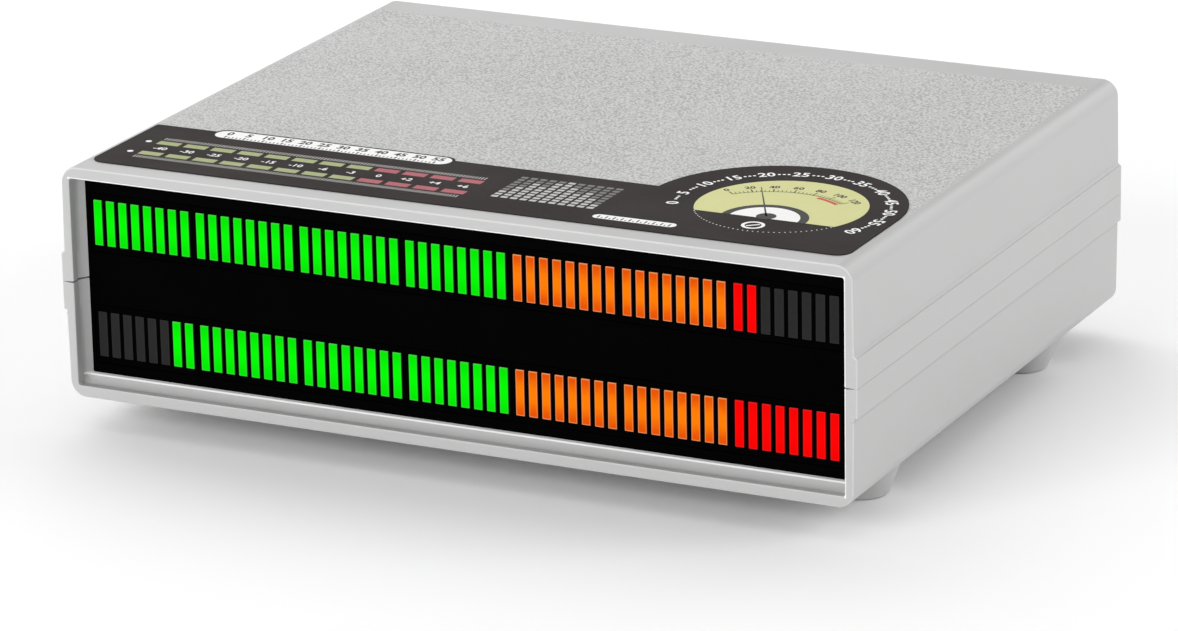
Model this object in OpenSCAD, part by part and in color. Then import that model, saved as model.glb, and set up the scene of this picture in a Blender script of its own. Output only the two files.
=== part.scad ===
// Two-row LED music spectrum display in a two-shell instrument case.
// Millimetres, +Z up, front towards -Y. The origin lies on the table, below the middle of the overall box.
// The modules draw around the middle of the case, and the last lines move them to the origin.

/* [Case] */
// Width of the two shells at the seam
case_w = 200; // [180:1:240]
// Depth of the case from front to rear
case_d = 160; // [140:1:200]
// Height of the two shells without the feet
case_h = 56; // [54:1:80]
// Rounding of the long outer edges
edge_r = 4; // [3:0.5:6]
// Rounding of the long inner edges
inner_edge_r = 1; // [0.6:0.1:1.6]
// Lean of each side wall between seam and edge
side_draft = 0.3; // [0.2:0.1:0.8]
// Thickness of the side walls
side_wall = 2; // [1.6:0.1:2.6]
// Thickness of the top and the floor
deck_wall = 2.2; // [1.8:0.1:2.8]
// Height of the raised band along the seam
band_h = 14; // [8:1:20]
// How far the band stands out from the sides
band_out = 0.7; // [0.3:0.1:1.2]
// Height and depth of the fine groove along the seam
seam_groove = 0.2; // [0.1:0.1:0.6]

/* [Frames and panels] */
// Thickness of the frame lips, front to back
lip_t = 2; // [1.5:0.1:3]
// How far the lips stand in from the side walls
lip_side_in = 0.4; // [0.2:0.1:1]
// How far the lips stand in from the top and the floor
lip_deck_in = 0.6; // [0.2:0.1:1.2]
// Width of the groove between lip and panel rib
groove_t = 1.5; // [1:0.1:2]
// Thickness of each rib that holds a panel or a board
rib_t = 1.5; // [1:0.1:2]
// How far the ribs stand in from the side walls
rib_side_in = 1.7; // [1.3:0.1:2]
// How far the ribs stand in from the top and the floor
rib_deck_in = 2.7; // [2:0.1:3]
// How far the rib before a panel stands in from the top
outer_rib_top_in = 1.7; // [1.3:0.1:2.7]
// Depth of the groove between lip and side guide
guide_groove_t = 0.7; // [0.4:0.1:1.5]
// Thickness of the front and rear panels
panel_t = 2; // [1.5:0.1:2.5]
// Room between the edge of a panel or board and the case
panel_gap = 0.3; // [0.2:0.05:0.5]
// Play of a panel or board between its ribs
panel_play = 0.2; // [0.1:0.05:0.4]

/* [Feet and case screws] */
// Height of the moulded feet
foot_h = 8; // [5:0.5:12]
// Radius of a foot at the table
foot_bottom_r = 6; // [5.5:0.5:8]
// Radius of a foot at the case
foot_top_r = 9; // [8:0.5:11]
// Distance from a foot's centre to the side of the case
foot_side_inset = 12; // [11.5:0.5:20]
// Distance from a foot's centre to the front or rear of the case
foot_end_inset = 32; // [26:1:40]
// Radius of the screw recess in a foot
recess_r = 3.6; // [3.4:0.1:4.2]
// Radius of the screw bosses
boss_r = 5; // [4:0.1:6]
// Radius of every screw shank
screw_r = 1.45; // [1.2:0.05:1.6]
// Room around a screw in its threaded hole
thread_gap = 0.05; // [0.03:0.01:0.1]
// Room around a screw in a plain hole
screw_gap = 0.3; // [0.2:0.05:0.5]
// Radius of every screw head
screw_head_r = 2.9; // [2.4:0.1:3.1]
// Height of every screw head
screw_head_h = 2; // [1.5:0.1:2.5]
// Length of the case screws inside the top cover
case_screw_bite = 12; // [8:1:18]
// Radius of the cross recess in a screw head
drive_r = 1; // [0.6:0.1:1.4]
// Depth of the cross recess in a screw head
drive_depth = 1; // [0.5:0.1:1.4]

/* [LED rows] */
// Bars in one module
bars_per_module = 8; // [4:1:10]
// Width of a light bar
bar_w = 2.25; // [1.6:0.05:2.7]
// Height of a light bar
bar_h = 10.9; // [8:0.1:12]
// Distance between bars in a module
bar_pitch = 3.3; // [3:0.05:3.6]
// Depth of a light bar
bar_depth = 3; // [2:0.1:5]
// Room around a bar in its pocket
bar_gap = 0.05; // [0.03:0.01:0.1]
// Housing past the last bar's share at each end of a module
module_end = 0.3; // [0.1:0.05:1]
// Housing above and below the bars
module_rim = 1.55; // [1:0.05:2]
// Depth of a module from face to board
module_depth = 8; // [6.5:0.1:12]
// Gap between neighbouring modules
module_gap = 0.2; // [0.1:0.05:0.6]
// Distance between the middles of the two rows
row_gap = 27.2; // [22:0.1:28]
// How far a module's face lies behind the panel face
face_recess = 0.1; // [0.05:0.01:0.3]
// Room between the modules and the panel windows
window_gap = 0.25; // [0.15:0.05:0.4]

/* [Top label] */
// Distance from the ends of the printed film to the rounding of the case
label_margin = 0.1; // [0.1:0.1:10]
// Thickness of the printed film
label_t = 0.25; // [0.15:0.05:0.5]
// Distance from the front of the case to the film
label_front = 6; // [4:0.5:15]
// Depth of the film's strip
label_d = 32; // [20:1:40]
// Corner radius of the film at the front
label_corner_r = 3.5; // [1:0.5:6]
// Corner radius of the film at the rear
label_rear_r = 0.6; // [0.3:0.1:3]
// Radius of the round lobe around the dial
lobe_r = 30.2; // [20:0.1:32]
// Distance from the lobe's centre to the film's front edge
lobe_y = 29; // [20:0.5:32]
// Distance from the film's left end to the oblong tab
tab_x = 16; // [8:0.2:30]
// Length of the oblong tab
tab_w = 63.2; // [30:0.2:70]
// Width of the oblong tab
tab_d = 6.8; // [6.6:0.2:10]
// Corner radius of the oblong tab
tab_corner_r = 3.2; // [1:0.1:3.2]
// How far the tab stands past the strip
tab_out = 2.2; // [0.5:0.1:3]

/* [Boards] */
// Thickness of both circuit boards
board_t = 1.6; // [1:0.1:2]
// Depth of the main board
main_board_d = 95; // [80:1:100]
// Room between the main board and the screw bosses
board_side_gap = 2.5; // [1.5:0.1:6]
// Room between the main board and the rear panel
board_rear_gap = 0.5; // [0.2:0.1:2]
// Height of the posts under the main board
post_h = 8; // [4:0.5:12]
// Radius of the posts
post_r = 3.5; // [3:0.1:4.5]
// Distance from a board screw to the edges of the board
board_screw_inset = 5; // [4:0.5:8]

/* [Board parts] */
// Width of the controller chip
controller_w = 12; // [8:1:16]
// Leads on each side of the controller chip
controller_leads = 11; // [6:1:11]
// Length of a driver chip
driver_l = 10; // [8:0.5:14]
// Width of a driver chip
driver_w = 4; // [3:0.5:6]
// Leads on each side of a driver chip
driver_leads = 8; // [4:1:8]
// Height of every chip body
chip_h = 1.6; // [1:0.1:2.4]
// Width of a chip lead
lead_w = 0.4; // [0.3:0.05:0.6]
// Reach of a chip lead past the body
lead_reach = 1; // [0.5:0.1:1.5]
// Thickness of a chip lead
lead_t = 0.7; // [0.3:0.1:0.9]
// Radius of the filter capacitors
capacitor_r = 4; // [2.5:0.5:6]
// Height of the filter capacitors
capacitor_h = 11; // [6:1:18]
// Count of filter capacitors
capacitor_count = 3; // [1:1:4]
// Length of the crystal can
crystal_l = 11; // [6:0.5:14]
// Width of the crystal can
crystal_w = 4.5; // [3:0.5:6]
// Height of the crystal can
crystal_h = 3.5; // [2:0.5:6]
// Width of the voltage regulator
regulator_w = 10; // [6:0.5:12]
// Thickness of the voltage regulator
regulator_t = 4.5; // [3:0.5:6]
// Height of the voltage regulator's body above its legs
regulator_h = 9; // [6:0.5:12]
// Length of the voltage regulator's legs
regulator_leg = 4; // [2:0.5:6]
// Thickness of the voltage regulator's metal tab
regulator_tab_t = 1.3; // [0.8:0.1:2]
// Height of the metal tab above the body
regulator_tab_h = 6; // [4:0.5:8]
// Space between parts on the main board
part_pitch = 20; // [16:1:24]

/* [Ribbon cable] */
// Width of the two connectors
connector_w = 33; // [20:1:40]
// Thickness of the two connectors
connector_t = 9; // [6:0.5:10]
// How far a connector stands off its board
connector_l = 9; // [6:0.5:12]
// Width of the ribbon
ribbon_w = 25.4; // [12:0.1:30]
// Thickness of the ribbon
ribbon_t = 0.9; // [0.6:0.1:1.2]
// Bend radius of the ribbon's middle
ribbon_bend_r = 8; // [4:0.5:8]
// Distance from the main connector to the main board's front edge
connector_inset = 9; // [6:0.5:14]

/* [Rear sockets] */
// Distance between rear stations
control_pitch = 22; // [20:0.5:24]
// Height of sockets and controls above the main board
control_h = 8; // [7:0.5:10]
// Gap between socket bodies and the rear panel
seat_gap = 0.1; // [0.05:0.05:0.2]
// Width of the power socket
dc_w = 10; // [9:0.5:14]
// Depth of the power socket
dc_d = 14; // [12:0.5:18]
// Bore radius of the power socket
dc_bore_r = 3.2; // [2.9:0.1:3.6]
// Depth of the power socket's bore
dc_bore_d = 10; // [8:0.5:11]
// Radius of the power socket's pin
dc_pin_r = 1.05; // [0.65:0.05:1.25]
// Radius of the power socket's hole in the rear panel
dc_hole_r = 4.6; // [4:0.1:6]
// Distance between the two line sockets
rca_pitch = 16; // [14:0.5:20]
// Outer radius of a line socket's sleeve
rca_r = 4.15; // [4:0.05:4.3]
// Wall of a line socket's sleeve
rca_wall = 0.5; // [0.3:0.05:0.8]
// Radius of the thicker root of a sleeve, in the rear panel
rca_root_r = 4.6; // [4.5:0.05:5]
// How far the sleeves stand out from the rear panel
rca_out = 8.5; // [7:0.5:11]
// Depth of the sleeves' seat in the socket block
rca_seat = 2; // [1:0.5:4]
// Radius of the hole in a line socket's insert
rca_bore_r = 1.65; // [1.4:0.05:1.9]
// Width of the socket block past each socket's middle
rca_block_side = 7; // [6:0.5:9]
// Depth of the socket block
rca_block_d = 12; // [8:0.5:16]
// Height of the socket block above the sockets' middle
rca_block_up = 7; // [6:0.5:9]
// Room around the sleeves in the rear panel and the block
rca_gap = 0.1; // [0.05:0.05:0.3]

/* [Rear controls] */
// Radius of the button caps
cap_r = 4; // [3:0.1:5]
// Room around the button caps in the rear panel
cap_gap = 0.35; // [0.3:0.05:0.6]
// How far the released mode button stands out
mode_out = 3; // [2:0.1:4]
// How far the latched power button stands out
power_out = 2; // [1:0.1:3]
// Length of a button cap inside the rear panel
cap_in = 1.5; // [1:0.1:2]
// Side of the square button stems
stem_w = 3; // [2:0.1:3.4]
// Room around a stem in its switch
stem_gap = 0.2; // [0.15:0.05:0.4]
// Length of the stems
stem_l = 10; // [8:0.5:12]
// Room between a button cap and its switch
button_room = 3; // [2.5:0.1:4]
// Room behind the end of a stem
stem_room = 3; // [2.5:0.1:4]
// Floor of a switch behind the stem hole
switch_floor = 1.5; // [1:0.1:3]
// Width of the switches
switch_w = 8.5; // [7:0.1:12]
// Width of the level control's body
pot_w = 12; // [10:0.5:14]
// Depth of the level control's body
pot_d = 10; // [7:0.5:14]
// Radius of the level control's threaded neck
neck_r = 3.5; // [3.3:0.1:4]
// Room around the neck in the rear panel and the nut
neck_gap = 0.1; // [0.05:0.05:0.2]
// Radius of the level control's shaft
shaft_r = 3; // [2:0.1:3]
// Room around the shaft in the neck
shaft_gap = 0.1; // [0.05:0.05:0.15]
// How far the shaft reaches into the level control's body
shaft_in = 5; // [3:0.5:6]
// Thickness of the nut
nut_t = 2; // [1.5:0.1:3]
// Width of the nut across its corners
nut_w = 11.5; // [10:0.5:13]
// Gap between nut and knob
knob_gap = 0.8; // [0.5:0.1:1.5]
// Radius of the knob
knob_r = 7.5; // [6:0.5:9]
// Length of the knob
knob_l = 11; // [10:0.5:14]
// Depth of the knob's bore for the shaft
knob_bore_d = 8; // [5:0.5:8.5]
// Flutes around the knob
knob_flutes = 18; // [12:1:24]
// Radius of each flute
flute_r = 0.6; // [0.3:0.1:0.8]
// Width and depth of the pointer line in the knob
pointer_w = 1; // [0.6:0.1:1.4]

/* [Hidden] */
$fn = 48;
overlap_cut = 1;

seam_z = foot_h + case_h / 2;
top_z = foot_h + case_h;
floor_z = foot_h + deck_wall;
ceiling_z = top_z - deck_wall;
front_y = -case_d / 2;
rear_y = case_d / 2;
foot_x = case_w / 2 - foot_side_inset;
foot_y = case_d / 2 - foot_end_inset;

// The printed film fills the flat of the top; panels and boards fill the inside, less a gap.
label_w = case_w - 2 * (side_draft + edge_r + label_margin);
plate_w = 2 * (case_w / 2 - side_wall - side_draft - panel_gap);
plate_h = 2 * (case_h / 2 - deck_wall - panel_gap);
frame_open_w = case_w - 2 * side_wall - 2 * rib_side_in;
panel_set = lip_t + groove_t + rib_t;
front_panel_y = front_y + panel_set;
rear_panel_y = rear_y - panel_set;
rear_inside_y = rear_panel_y - panel_t;

module_l = bars_per_module * bar_pitch + 2 * module_end;
module_pitch = module_l + module_gap;
module_h = bar_h + 2 * module_rim;
module_count = floor((frame_open_w - 2 * window_gap) / module_pitch);
window_w = module_count * module_pitch - module_gap + 2 * window_gap;
window_h = module_h + 2 * window_gap;
module_face_y = front_panel_y + face_recess;
display_board_y = module_face_y + module_depth;
display_back_y = display_board_y + board_t;

main_board_w = 2 * (foot_x - boss_r - board_side_gap);
main_rear_y = rear_inside_y - board_rear_gap;
main_front_y = main_rear_y - main_board_d;
main_bottom_z = floor_z + post_h;
main_top_z = main_bottom_z + board_t;
main_middle_y = main_front_y + main_board_d / 2;
board_screw_x = main_board_w / 2 - board_screw_inset;
board_screw_ys = [main_front_y + board_screw_inset, main_rear_y - board_screw_inset];

control_z = main_top_z + control_h;
seat_y = rear_inside_y - seat_gap;
dc_x = -2.5 * control_pitch;
power_x = -1.5 * control_pitch;
mode_x = -0.5 * control_pitch;
knob_x = 0.5 * control_pitch;
rca_x = 2 * control_pitch;
rca_left_x = rca_x + rca_pitch / 2;
rca_right_x = rca_x - rca_pitch / 2;
cap_base_y = rear_inside_y - cap_in;
switch_front_y = cap_base_y - button_room;
switch_d = stem_l - button_room + stem_room + switch_floor;
nut_y = rear_panel_y + nut_t;
knob_y = nut_y + knob_gap;
shaft_end_y = knob_y + knob_bore_d - shaft_gap;
middle_y = (front_y + knob_y + knob_l) / 2;

connector_y = main_front_y + connector_inset;
ribbon_z = main_top_z + connector_l + ribbon_bend_r;

case_grey = [0.77, 0.77, 0.77];
ink_black = [0.02, 0.02, 0.02];
board_green = [0.05, 0.25, 0.12];
part_black = [0.08, 0.08, 0.09];
metal = [0.75, 0.75, 0.72];

ROWS = ["upper", "lower"];

// Height of the middle of a row above the table.
function row_z(row) = seam_z + (row == ROWS[0] ? 1 : -1) * row_gap / 2;
// Place of the middle of a module along the row.
function module_x(i) = (i - (module_count + 1) / 2) * module_pitch;
// Place of the middle of a bar, from the middle of its module.
function bar_x(k) = (k - (bars_per_module - 1) / 2) * bar_pitch;
// The last module of a row is red, the two before it are orange, and the rest are green.
function bar_colour(i) =
    i == module_count ? [0.9, 0.05, 0.05] :
    i > module_count - 3 ? [0.95, 0.45, 0.05] : [0.1, 0.85, 0.1];

// Stands a flat outline drawn in width and height on edge, between two depths.
module between(y0, y1) {
    translate([0, y1, 0]) rotate([90, 0, 0]) linear_extrude(y1 - y0) children();
}

// A round rod along the depth of the case.
module rod(x, z, r, y0, y1) {
    translate([x, y1, z]) rotate([90, 0, 0]) cylinder(h = y1 - y0, r = r);
}

// A block given by its middle in width, its ends in depth and its ends in height.
module block(x, w, y0, y1, z0, z1) {
    translate([x - w / 2, y0, z0]) cube([w, y1 - y0, z1 - z0]);
}

// A rectangle with round corners, around its middle.
module rounded_rect(w, h, r) {
    square([w - 2 * r, h], center = true);
    square([w, h - 2 * r], center = true);
    for (x = [-1, 1], y = [-1, 1])
        translate([x * (w / 2 - r), y * (h / 2 - r)]) circle(r);
}

// Cross-section of the shells, drawn a stated distance inside the outer faces.
module case_section(side_in, deck_in, r) {
    w = case_w / 2 - side_in;
    h = case_h / 2 - deck_in;
    edge_w = w - side_draft;
    translate([0, seam_z]) {
        polygon([[w, 0], [edge_w, h - r], [edge_w - r, h], [r - edge_w, h], [-edge_w, h - r],
                 [-w, 0], [-edge_w, r - h], [r - edge_w, -h], [edge_w - r, -h], [edge_w, r - h]]);
        for (x = [-1, 1], y = [-1, 1])
            translate([x * (edge_w - r), y * (h - r)]) circle(r);
    }
}

// A frame that stands in from all four walls, between two depths.
module case_frame(y0, y1, side_in, top_in, floor_in) {
    open_w = case_w - 2 * side_wall - 2 * side_in;
    open_h = case_h - 2 * deck_wall - top_in - floor_in;
    between(y0, y1) difference() {
        case_section(side_wall / 2, deck_wall / 2, edge_r - side_wall / 2);
        translate([-open_w / 2, floor_z + floor_in]) square([open_w, open_h]);
    }
}

// Tapered guides on both side walls, which lead in to the edges of a panel.
module side_guides(y0, y1) {
    wall_x = case_w / 2 - side_wall;
    for (side = [0, 1]) mirror([side, 0, 0])
        translate([0, 0, floor_z - deck_wall / 2]) linear_extrude(ceiling_z - floor_z + deck_wall)
            polygon([[wall_x, y0], [wall_x - rib_side_in, y1], [wall_x + side_wall / 2, y1],
                     [wall_x + side_wall / 2, y0]]);
}

// Frames at one end of the case: the lip, the rib and guides before the panel and the rib behind it.
module end_frames() {
    lip_y = front_y + lip_t;
    rib_y = lip_y + groove_t;
    back_y = front_panel_y + panel_t + panel_play;
    case_frame(front_y, lip_y, lip_side_in, lip_deck_in, lip_deck_in);
    case_frame(rib_y, rib_y + rib_t, lip_side_in, outer_rib_top_in, rib_deck_in);
    side_guides(lip_y + guide_groove_t, rib_y + rib_t);
    case_frame(back_y, back_y + rib_t, rib_side_in, rib_deck_in, rib_deck_in);
}

// Ribs in front of and behind the display board.
module board_frames() {
    board_front_y = display_board_y - panel_play / 2;
    board_back_y = display_back_y + panel_play / 2;
    case_frame(board_front_y - rib_t, board_front_y, rib_side_in, rib_deck_in, rib_deck_in);
    case_frame(board_back_y, board_back_y + rib_t, rib_side_in, rib_deck_in, rib_deck_in);
}

// Both shells in one, before they are parted at the seam.
module case_tube() {
    difference() {
        union() {
            between(front_y, rear_y) case_section(0, 0, edge_r);
            between(front_y, rear_y)
                translate([0, seam_z]) square([case_w + 2 * band_out, band_h], center = true);
        }
        between(front_y - overlap_cut, rear_y + overlap_cut)
            case_section(side_wall, deck_wall, inner_edge_r);
    }
    end_frames();
    mirror([0, 1, 0]) end_frames();
    board_frames();
}

// The space above or below the seam, larger than the case.
module half_space(above) {
    span_w = case_w + 2 * band_out + 2 * overlap_cut;
    span_d = case_d + 2 * overlap_cut;
    translate([-span_w / 2, -span_d / 2, above ? seam_z : seam_z - case_h])
        cube([span_w, span_d, case_h]);
}

// Places its children at the four feet.
module at_feet() {
    for (x = [-1, 1], y = [-1, 1])
        translate([x * foot_x, y * foot_y, 0]) children();
}

// Places its children at the four board screws.
module at_board_screws() {
    for (x = [-1, 1], y = board_screw_ys)
        translate([x * board_screw_x, y, 0]) children();
}

// A screw pointing up, with the underside of its head at zero.
module screw(length) {
    difference() {
        union() {
            translate([0, 0, -screw_head_h]) cylinder(h = screw_head_h, r = screw_head_r);
            cylinder(h = length, r = screw_r);
        }
        for (turn = [0, 90])
            rotate(turn)
                translate([-drive_r, -drive_r / 4, -screw_head_h - overlap_cut])
                    cube([2 * drive_r, drive_r / 2, drive_depth + overlap_cut]);
    }
}

module top_cover() {
    color(case_grey) difference() {
        union() {
            intersection() {
                case_tube();
                half_space(true);
            }
            at_feet() translate([0, 0, seam_z])
                cylinder(h = ceiling_z - seam_z + deck_wall / 2, r = boss_r);
        }
        at_feet() translate([0, 0, seam_z - overlap_cut])
            cylinder(h = case_screw_bite + 2 * overlap_cut, r = screw_r + thread_gap);
    }
}

module bottom_cover() {
    groove_x = case_w / 2 + band_out - seam_groove;
    color(case_grey) difference() {
        union() {
            intersection() {
                case_tube();
                half_space(false);
            }
            at_feet() {
                cylinder(h = foot_h, r1 = foot_bottom_r, r2 = foot_top_r);
                translate([0, 0, foot_h]) cylinder(h = deck_wall / 2, r = foot_top_r);
                translate([0, 0, foot_h]) cylinder(h = seam_z - foot_h, r = boss_r);
            }
            at_board_screws() translate([0, 0, floor_z - deck_wall / 2])
                cylinder(h = post_h + deck_wall / 2, r = post_r);
        }
        at_feet() {
            translate([0, 0, -overlap_cut]) cylinder(h = floor_z + overlap_cut, r = recess_r);
            cylinder(h = seam_z + overlap_cut, r = screw_r + screw_gap);
        }
        at_board_screws() translate([0, 0, floor_z])
            cylinder(h = post_h + overlap_cut, r = screw_r + thread_gap);
        for (side = [-1, 1])
            block(side * (groove_x + overlap_cut / 2), overlap_cut, front_y - overlap_cut,
                  rear_y + overlap_cut, seam_z - seam_groove, seam_z + overlap_cut);
    }
}

module case_screws() {
    color(metal) at_feet() translate([0, 0, floor_z])
        screw(seam_z - floor_z + case_screw_bite);
}

module front_panel() {
    color(ink_black) between(front_panel_y, front_panel_y + panel_t) difference() {
        translate([0, seam_z]) rounded_rect(plate_w, plate_h, inner_edge_r);
        for (row = ROWS)
            translate([0, row_z(row)]) square([window_w, window_h], center = true);
    }
}

module rear_panel() {
    color(case_grey) difference() {
        between(rear_inside_y, rear_panel_y)
            translate([0, seam_z]) rounded_rect(plate_w, plate_h, inner_edge_r);
        panel_hole(dc_x, dc_hole_r);
        panel_hole(power_x, cap_r + cap_gap);
        panel_hole(mode_x, cap_r + cap_gap);
        panel_hole(knob_x, neck_r + neck_gap);
        panel_hole(rca_left_x, rca_root_r + rca_gap);
        panel_hole(rca_right_x, rca_root_r + rca_gap);
    }
}

// A round hole through the rear panel at the height of the controls.
module panel_hole(x, r) {
    rod(x, control_z, r, rear_inside_y - overlap_cut, rear_panel_y + overlap_cut);
}

module top_label() {
    strip_y = front_y + label_front;
    color([0.25, 0.23, 0.23]) translate([0, strip_y, top_z]) linear_extrude(label_t) {
        translate([0, label_d / 2]) rounded_rect(label_w, label_d, label_corner_r);
        translate([-label_w / 4, (label_d + label_corner_r) / 2])
            rounded_rect(label_w / 2, label_d - label_corner_r, label_rear_r);
        intersection() {
            translate([label_w / 2 - lobe_r, lobe_y]) circle(lobe_r);
            translate([-label_w / 2, 0]) square([label_w, lobe_y + lobe_r]);
        }
        translate([tab_x + tab_w / 2 - label_w / 2, label_d + tab_out - tab_d / 2])
            rounded_rect(tab_w, tab_d, tab_corner_r);
    }
}

module display_board() {
    color(part_black) between(display_board_y, display_back_y)
        translate([0, seam_z]) rounded_rect(plate_w, plate_h, inner_edge_r);
}

// An eight-bar light module without its bars.
module led_housing(row, i) {
    pocket_w = bar_w + 2 * bar_gap;
    pocket_h = bar_h + 2 * bar_gap;
    pocket_end_y = front_panel_y + bar_depth;
    color(part_black) difference() {
        block(module_x(i), module_l, module_face_y, display_board_y,
              row_z(row) - module_h / 2, row_z(row) + module_h / 2);
        for (k = [0 : bars_per_module - 1])
            block(module_x(i) + bar_x(k), pocket_w, module_face_y - overlap_cut, pocket_end_y,
                  row_z(row) - pocket_h / 2, row_z(row) + pocket_h / 2);
    }
}

// The light bars of one module, level with the face of the front panel.
module led_bars(row, i) {
    color(bar_colour(i)) for (k = [0 : bars_per_module - 1])
        block(module_x(i) + bar_x(k), bar_w, front_panel_y, front_panel_y + bar_depth,
              row_z(row) - bar_h / 2, row_z(row) + bar_h / 2);
}

// A chip lying flat, leads on two sides.
module chip(l, w, leads) {
    step = l / leads;
    translate([-l / 2, -w / 2, 0]) cube([l, w, chip_h]);
    for (k = [0 : leads - 1])
        translate([(k - (leads - 1) / 2) * step - lead_w / 2, -w / 2 - lead_reach, 0])
            cube([lead_w, w + 2 * lead_reach, lead_t]);
}

module driver_chips() {
    color(part_black) for (i = [1 : module_count])
        translate([module_x(i), display_back_y, row_z(ROWS[0])]) rotate([-90, 0, 0])
            chip(driver_l, driver_w, driver_leads);
}

module main_board() {
    color(board_green) difference() {
        block(0, main_board_w, main_front_y, main_rear_y, main_bottom_z, main_top_z);
        at_board_screws() translate([0, 0, main_bottom_z - overlap_cut])
            cylinder(h = board_t + 2 * overlap_cut, r = screw_r + screw_gap);
    }
}

module board_screws() {
    color(metal) at_board_screws() translate([0, 0, main_top_z])
        mirror([0, 0, 1]) screw(board_t + post_h - overlap_cut);
}

module controller_chip() {
    color(part_black) translate([0, main_middle_y, main_top_z]) {
        chip(controller_w, controller_w, controller_leads);
        rotate(90) chip(controller_w, controller_w, controller_leads);
    }
}

module crystal() {
    run = crystal_l - crystal_w;
    color(metal) translate([part_pitch, main_middle_y, main_top_z])
        linear_extrude(crystal_h) {
            square([run, crystal_w], center = true);
            for (end = [-1, 1])
                translate([end * run / 2, 0]) circle(crystal_w / 2);
        }
}

module filter_capacitors() {
    color([0.1, 0.12, 0.3]) for (k = [0 : capacitor_count - 1])
        translate([-(k + 1) * part_pitch, main_middle_y, main_top_z])
            cylinder(h = capacitor_h, r = capacitor_r);
}

module voltage_regulator() {
    leg_gap = regulator_w / 4;
    body_z = main_top_z + regulator_leg;
    back_y = main_middle_y + regulator_t;
    color(part_black) {
        block(2 * part_pitch, regulator_w, main_middle_y, back_y, body_z, body_z + regulator_h);
        block(2 * part_pitch, regulator_w, back_y - regulator_tab_t, back_y, body_z,
              body_z + regulator_h + regulator_tab_h);
        for (k = [-1, 0, 1])
            block(2 * part_pitch + k * leg_gap, lead_t, main_middle_y + regulator_t / 2 - lead_t / 2,
                  main_middle_y + regulator_t / 2 + lead_t / 2, main_top_z, body_z + overlap_cut);
    }
}

module display_connector() {
    color(part_black) block(0, connector_w, display_back_y, display_back_y + connector_l,
                            ribbon_z - connector_t / 2, ribbon_z + connector_t / 2);
}

module main_connector() {
    color(part_black) block(0, connector_w, connector_y - connector_t / 2,
                            connector_y + connector_t / 2, main_top_z, main_top_z + connector_l);
}

// The ribbon leaves the display board straight back and turns down to the main board.
module ribbon_cable() {
    start_y = display_back_y + connector_l;
    turn_y = connector_y - ribbon_bend_r;
    turn_z = ribbon_z - ribbon_bend_r;
    color([0.6, 0.6, 0.62]) translate([-ribbon_w / 2, 0, 0])
        rotate([90, 0, 90]) linear_extrude(ribbon_w) {
            translate([start_y, ribbon_z - ribbon_t / 2]) square([turn_y - start_y, ribbon_t]);
            translate([turn_y, turn_z]) intersection() {
                difference() {
                    circle(ribbon_bend_r + ribbon_t / 2);
                    circle(ribbon_bend_r - ribbon_t / 2);
                }
                square(ribbon_bend_r + ribbon_t);
            }
        }
}

module dc_jack() {
    color(part_black) difference() {
        block(dc_x, dc_w, seat_y - dc_d, seat_y, main_top_z, control_z + dc_w / 2);
        rod(dc_x, control_z, dc_bore_r, seat_y - dc_bore_d, seat_y + overlap_cut);
    }
}

module dc_jack_pin() {
    color(metal) rod(dc_x, control_z, dc_pin_r, seat_y - dc_bore_d, seat_y);
}

module rca_block() {
    color(part_black) difference() {
        block(rca_x, rca_pitch + 2 * rca_block_side, seat_y - rca_block_d, seat_y, main_top_z,
              control_z + rca_block_up);
        for (x = [rca_left_x, rca_right_x])
            rod(x, control_z, rca_root_r + rca_gap, seat_y - rca_seat, seat_y + overlap_cut);
    }
}

module rca_shells() {
    color(metal) for (x = [rca_left_x, rca_right_x])
        difference() {
            union() {
                rod(x, control_z, rca_root_r, seat_y - rca_seat, rear_panel_y);
                rod(x, control_z, rca_r, rear_panel_y - overlap_cut, rear_panel_y + rca_out);
            }
            rod(x, control_z, rca_r - rca_wall, seat_y - rca_seat - overlap_cut,
                rear_panel_y + rca_out + overlap_cut);
        }
}

// The insulating filling of a line socket, with the hole for the plug's pin.
module rca_insert(x) {
    difference() {
        rod(x, control_z, rca_r - rca_wall - rca_gap, seat_y - rca_seat,
            rear_panel_y + rca_out - rca_wall);
        rod(x, control_z, rca_bore_r, seat_y, rear_panel_y + rca_out + overlap_cut);
    }
}

module rca_insert_left() {
    color("white") rca_insert(rca_left_x);
}

module rca_insert_right() {
    color("firebrick") rca_insert(rca_right_x);
}

// A push switch on the main board with a blind square hole for its stem.
module push_switch(x) {
    hole_w = stem_w + 2 * stem_gap;
    difference() {
        block(x, switch_w, switch_front_y - switch_d, switch_front_y, main_top_z,
              control_z + switch_w / 2);
        block(x, hole_w, switch_front_y - switch_d + switch_floor, switch_front_y + overlap_cut,
              control_z - hole_w / 2, control_z + hole_w / 2);
    }
}

// A round button cap with its square stem.
module push_button(x, out) {
    rod(x, control_z, cap_r, cap_base_y, rear_panel_y + out);
    block(x, stem_w, cap_base_y - stem_l, cap_base_y + cap_in, control_z - stem_w / 2,
          control_z + stem_w / 2);
}

module power_switch() {
    color(part_black) push_switch(power_x);
}

module power_button() {
    color(part_black) push_button(power_x, power_out);
}

module mode_switch() {
    color(part_black) push_switch(mode_x);
}

module mode_button() {
    color(part_black) push_button(mode_x, mode_out);
}

module sensitivity_pot() {
    color(metal) difference() {
        union() {
            block(knob_x, pot_w, seat_y - pot_d, seat_y, main_top_z, control_z + pot_w / 2);
            rod(knob_x, control_z, neck_r, seat_y - overlap_cut, nut_y);
        }
        rod(knob_x, control_z, shaft_r + shaft_gap, seat_y - shaft_in - shaft_gap,
            nut_y + overlap_cut);
    }
}

module pot_nut() {
    color(metal) difference() {
        translate([knob_x, nut_y, control_z]) rotate([90, 0, 0])
            cylinder(h = nut_t, d = nut_w, $fn = 6);
        rod(knob_x, control_z, neck_r + neck_gap, rear_panel_y - overlap_cut, nut_y + overlap_cut);
    }
}

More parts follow.
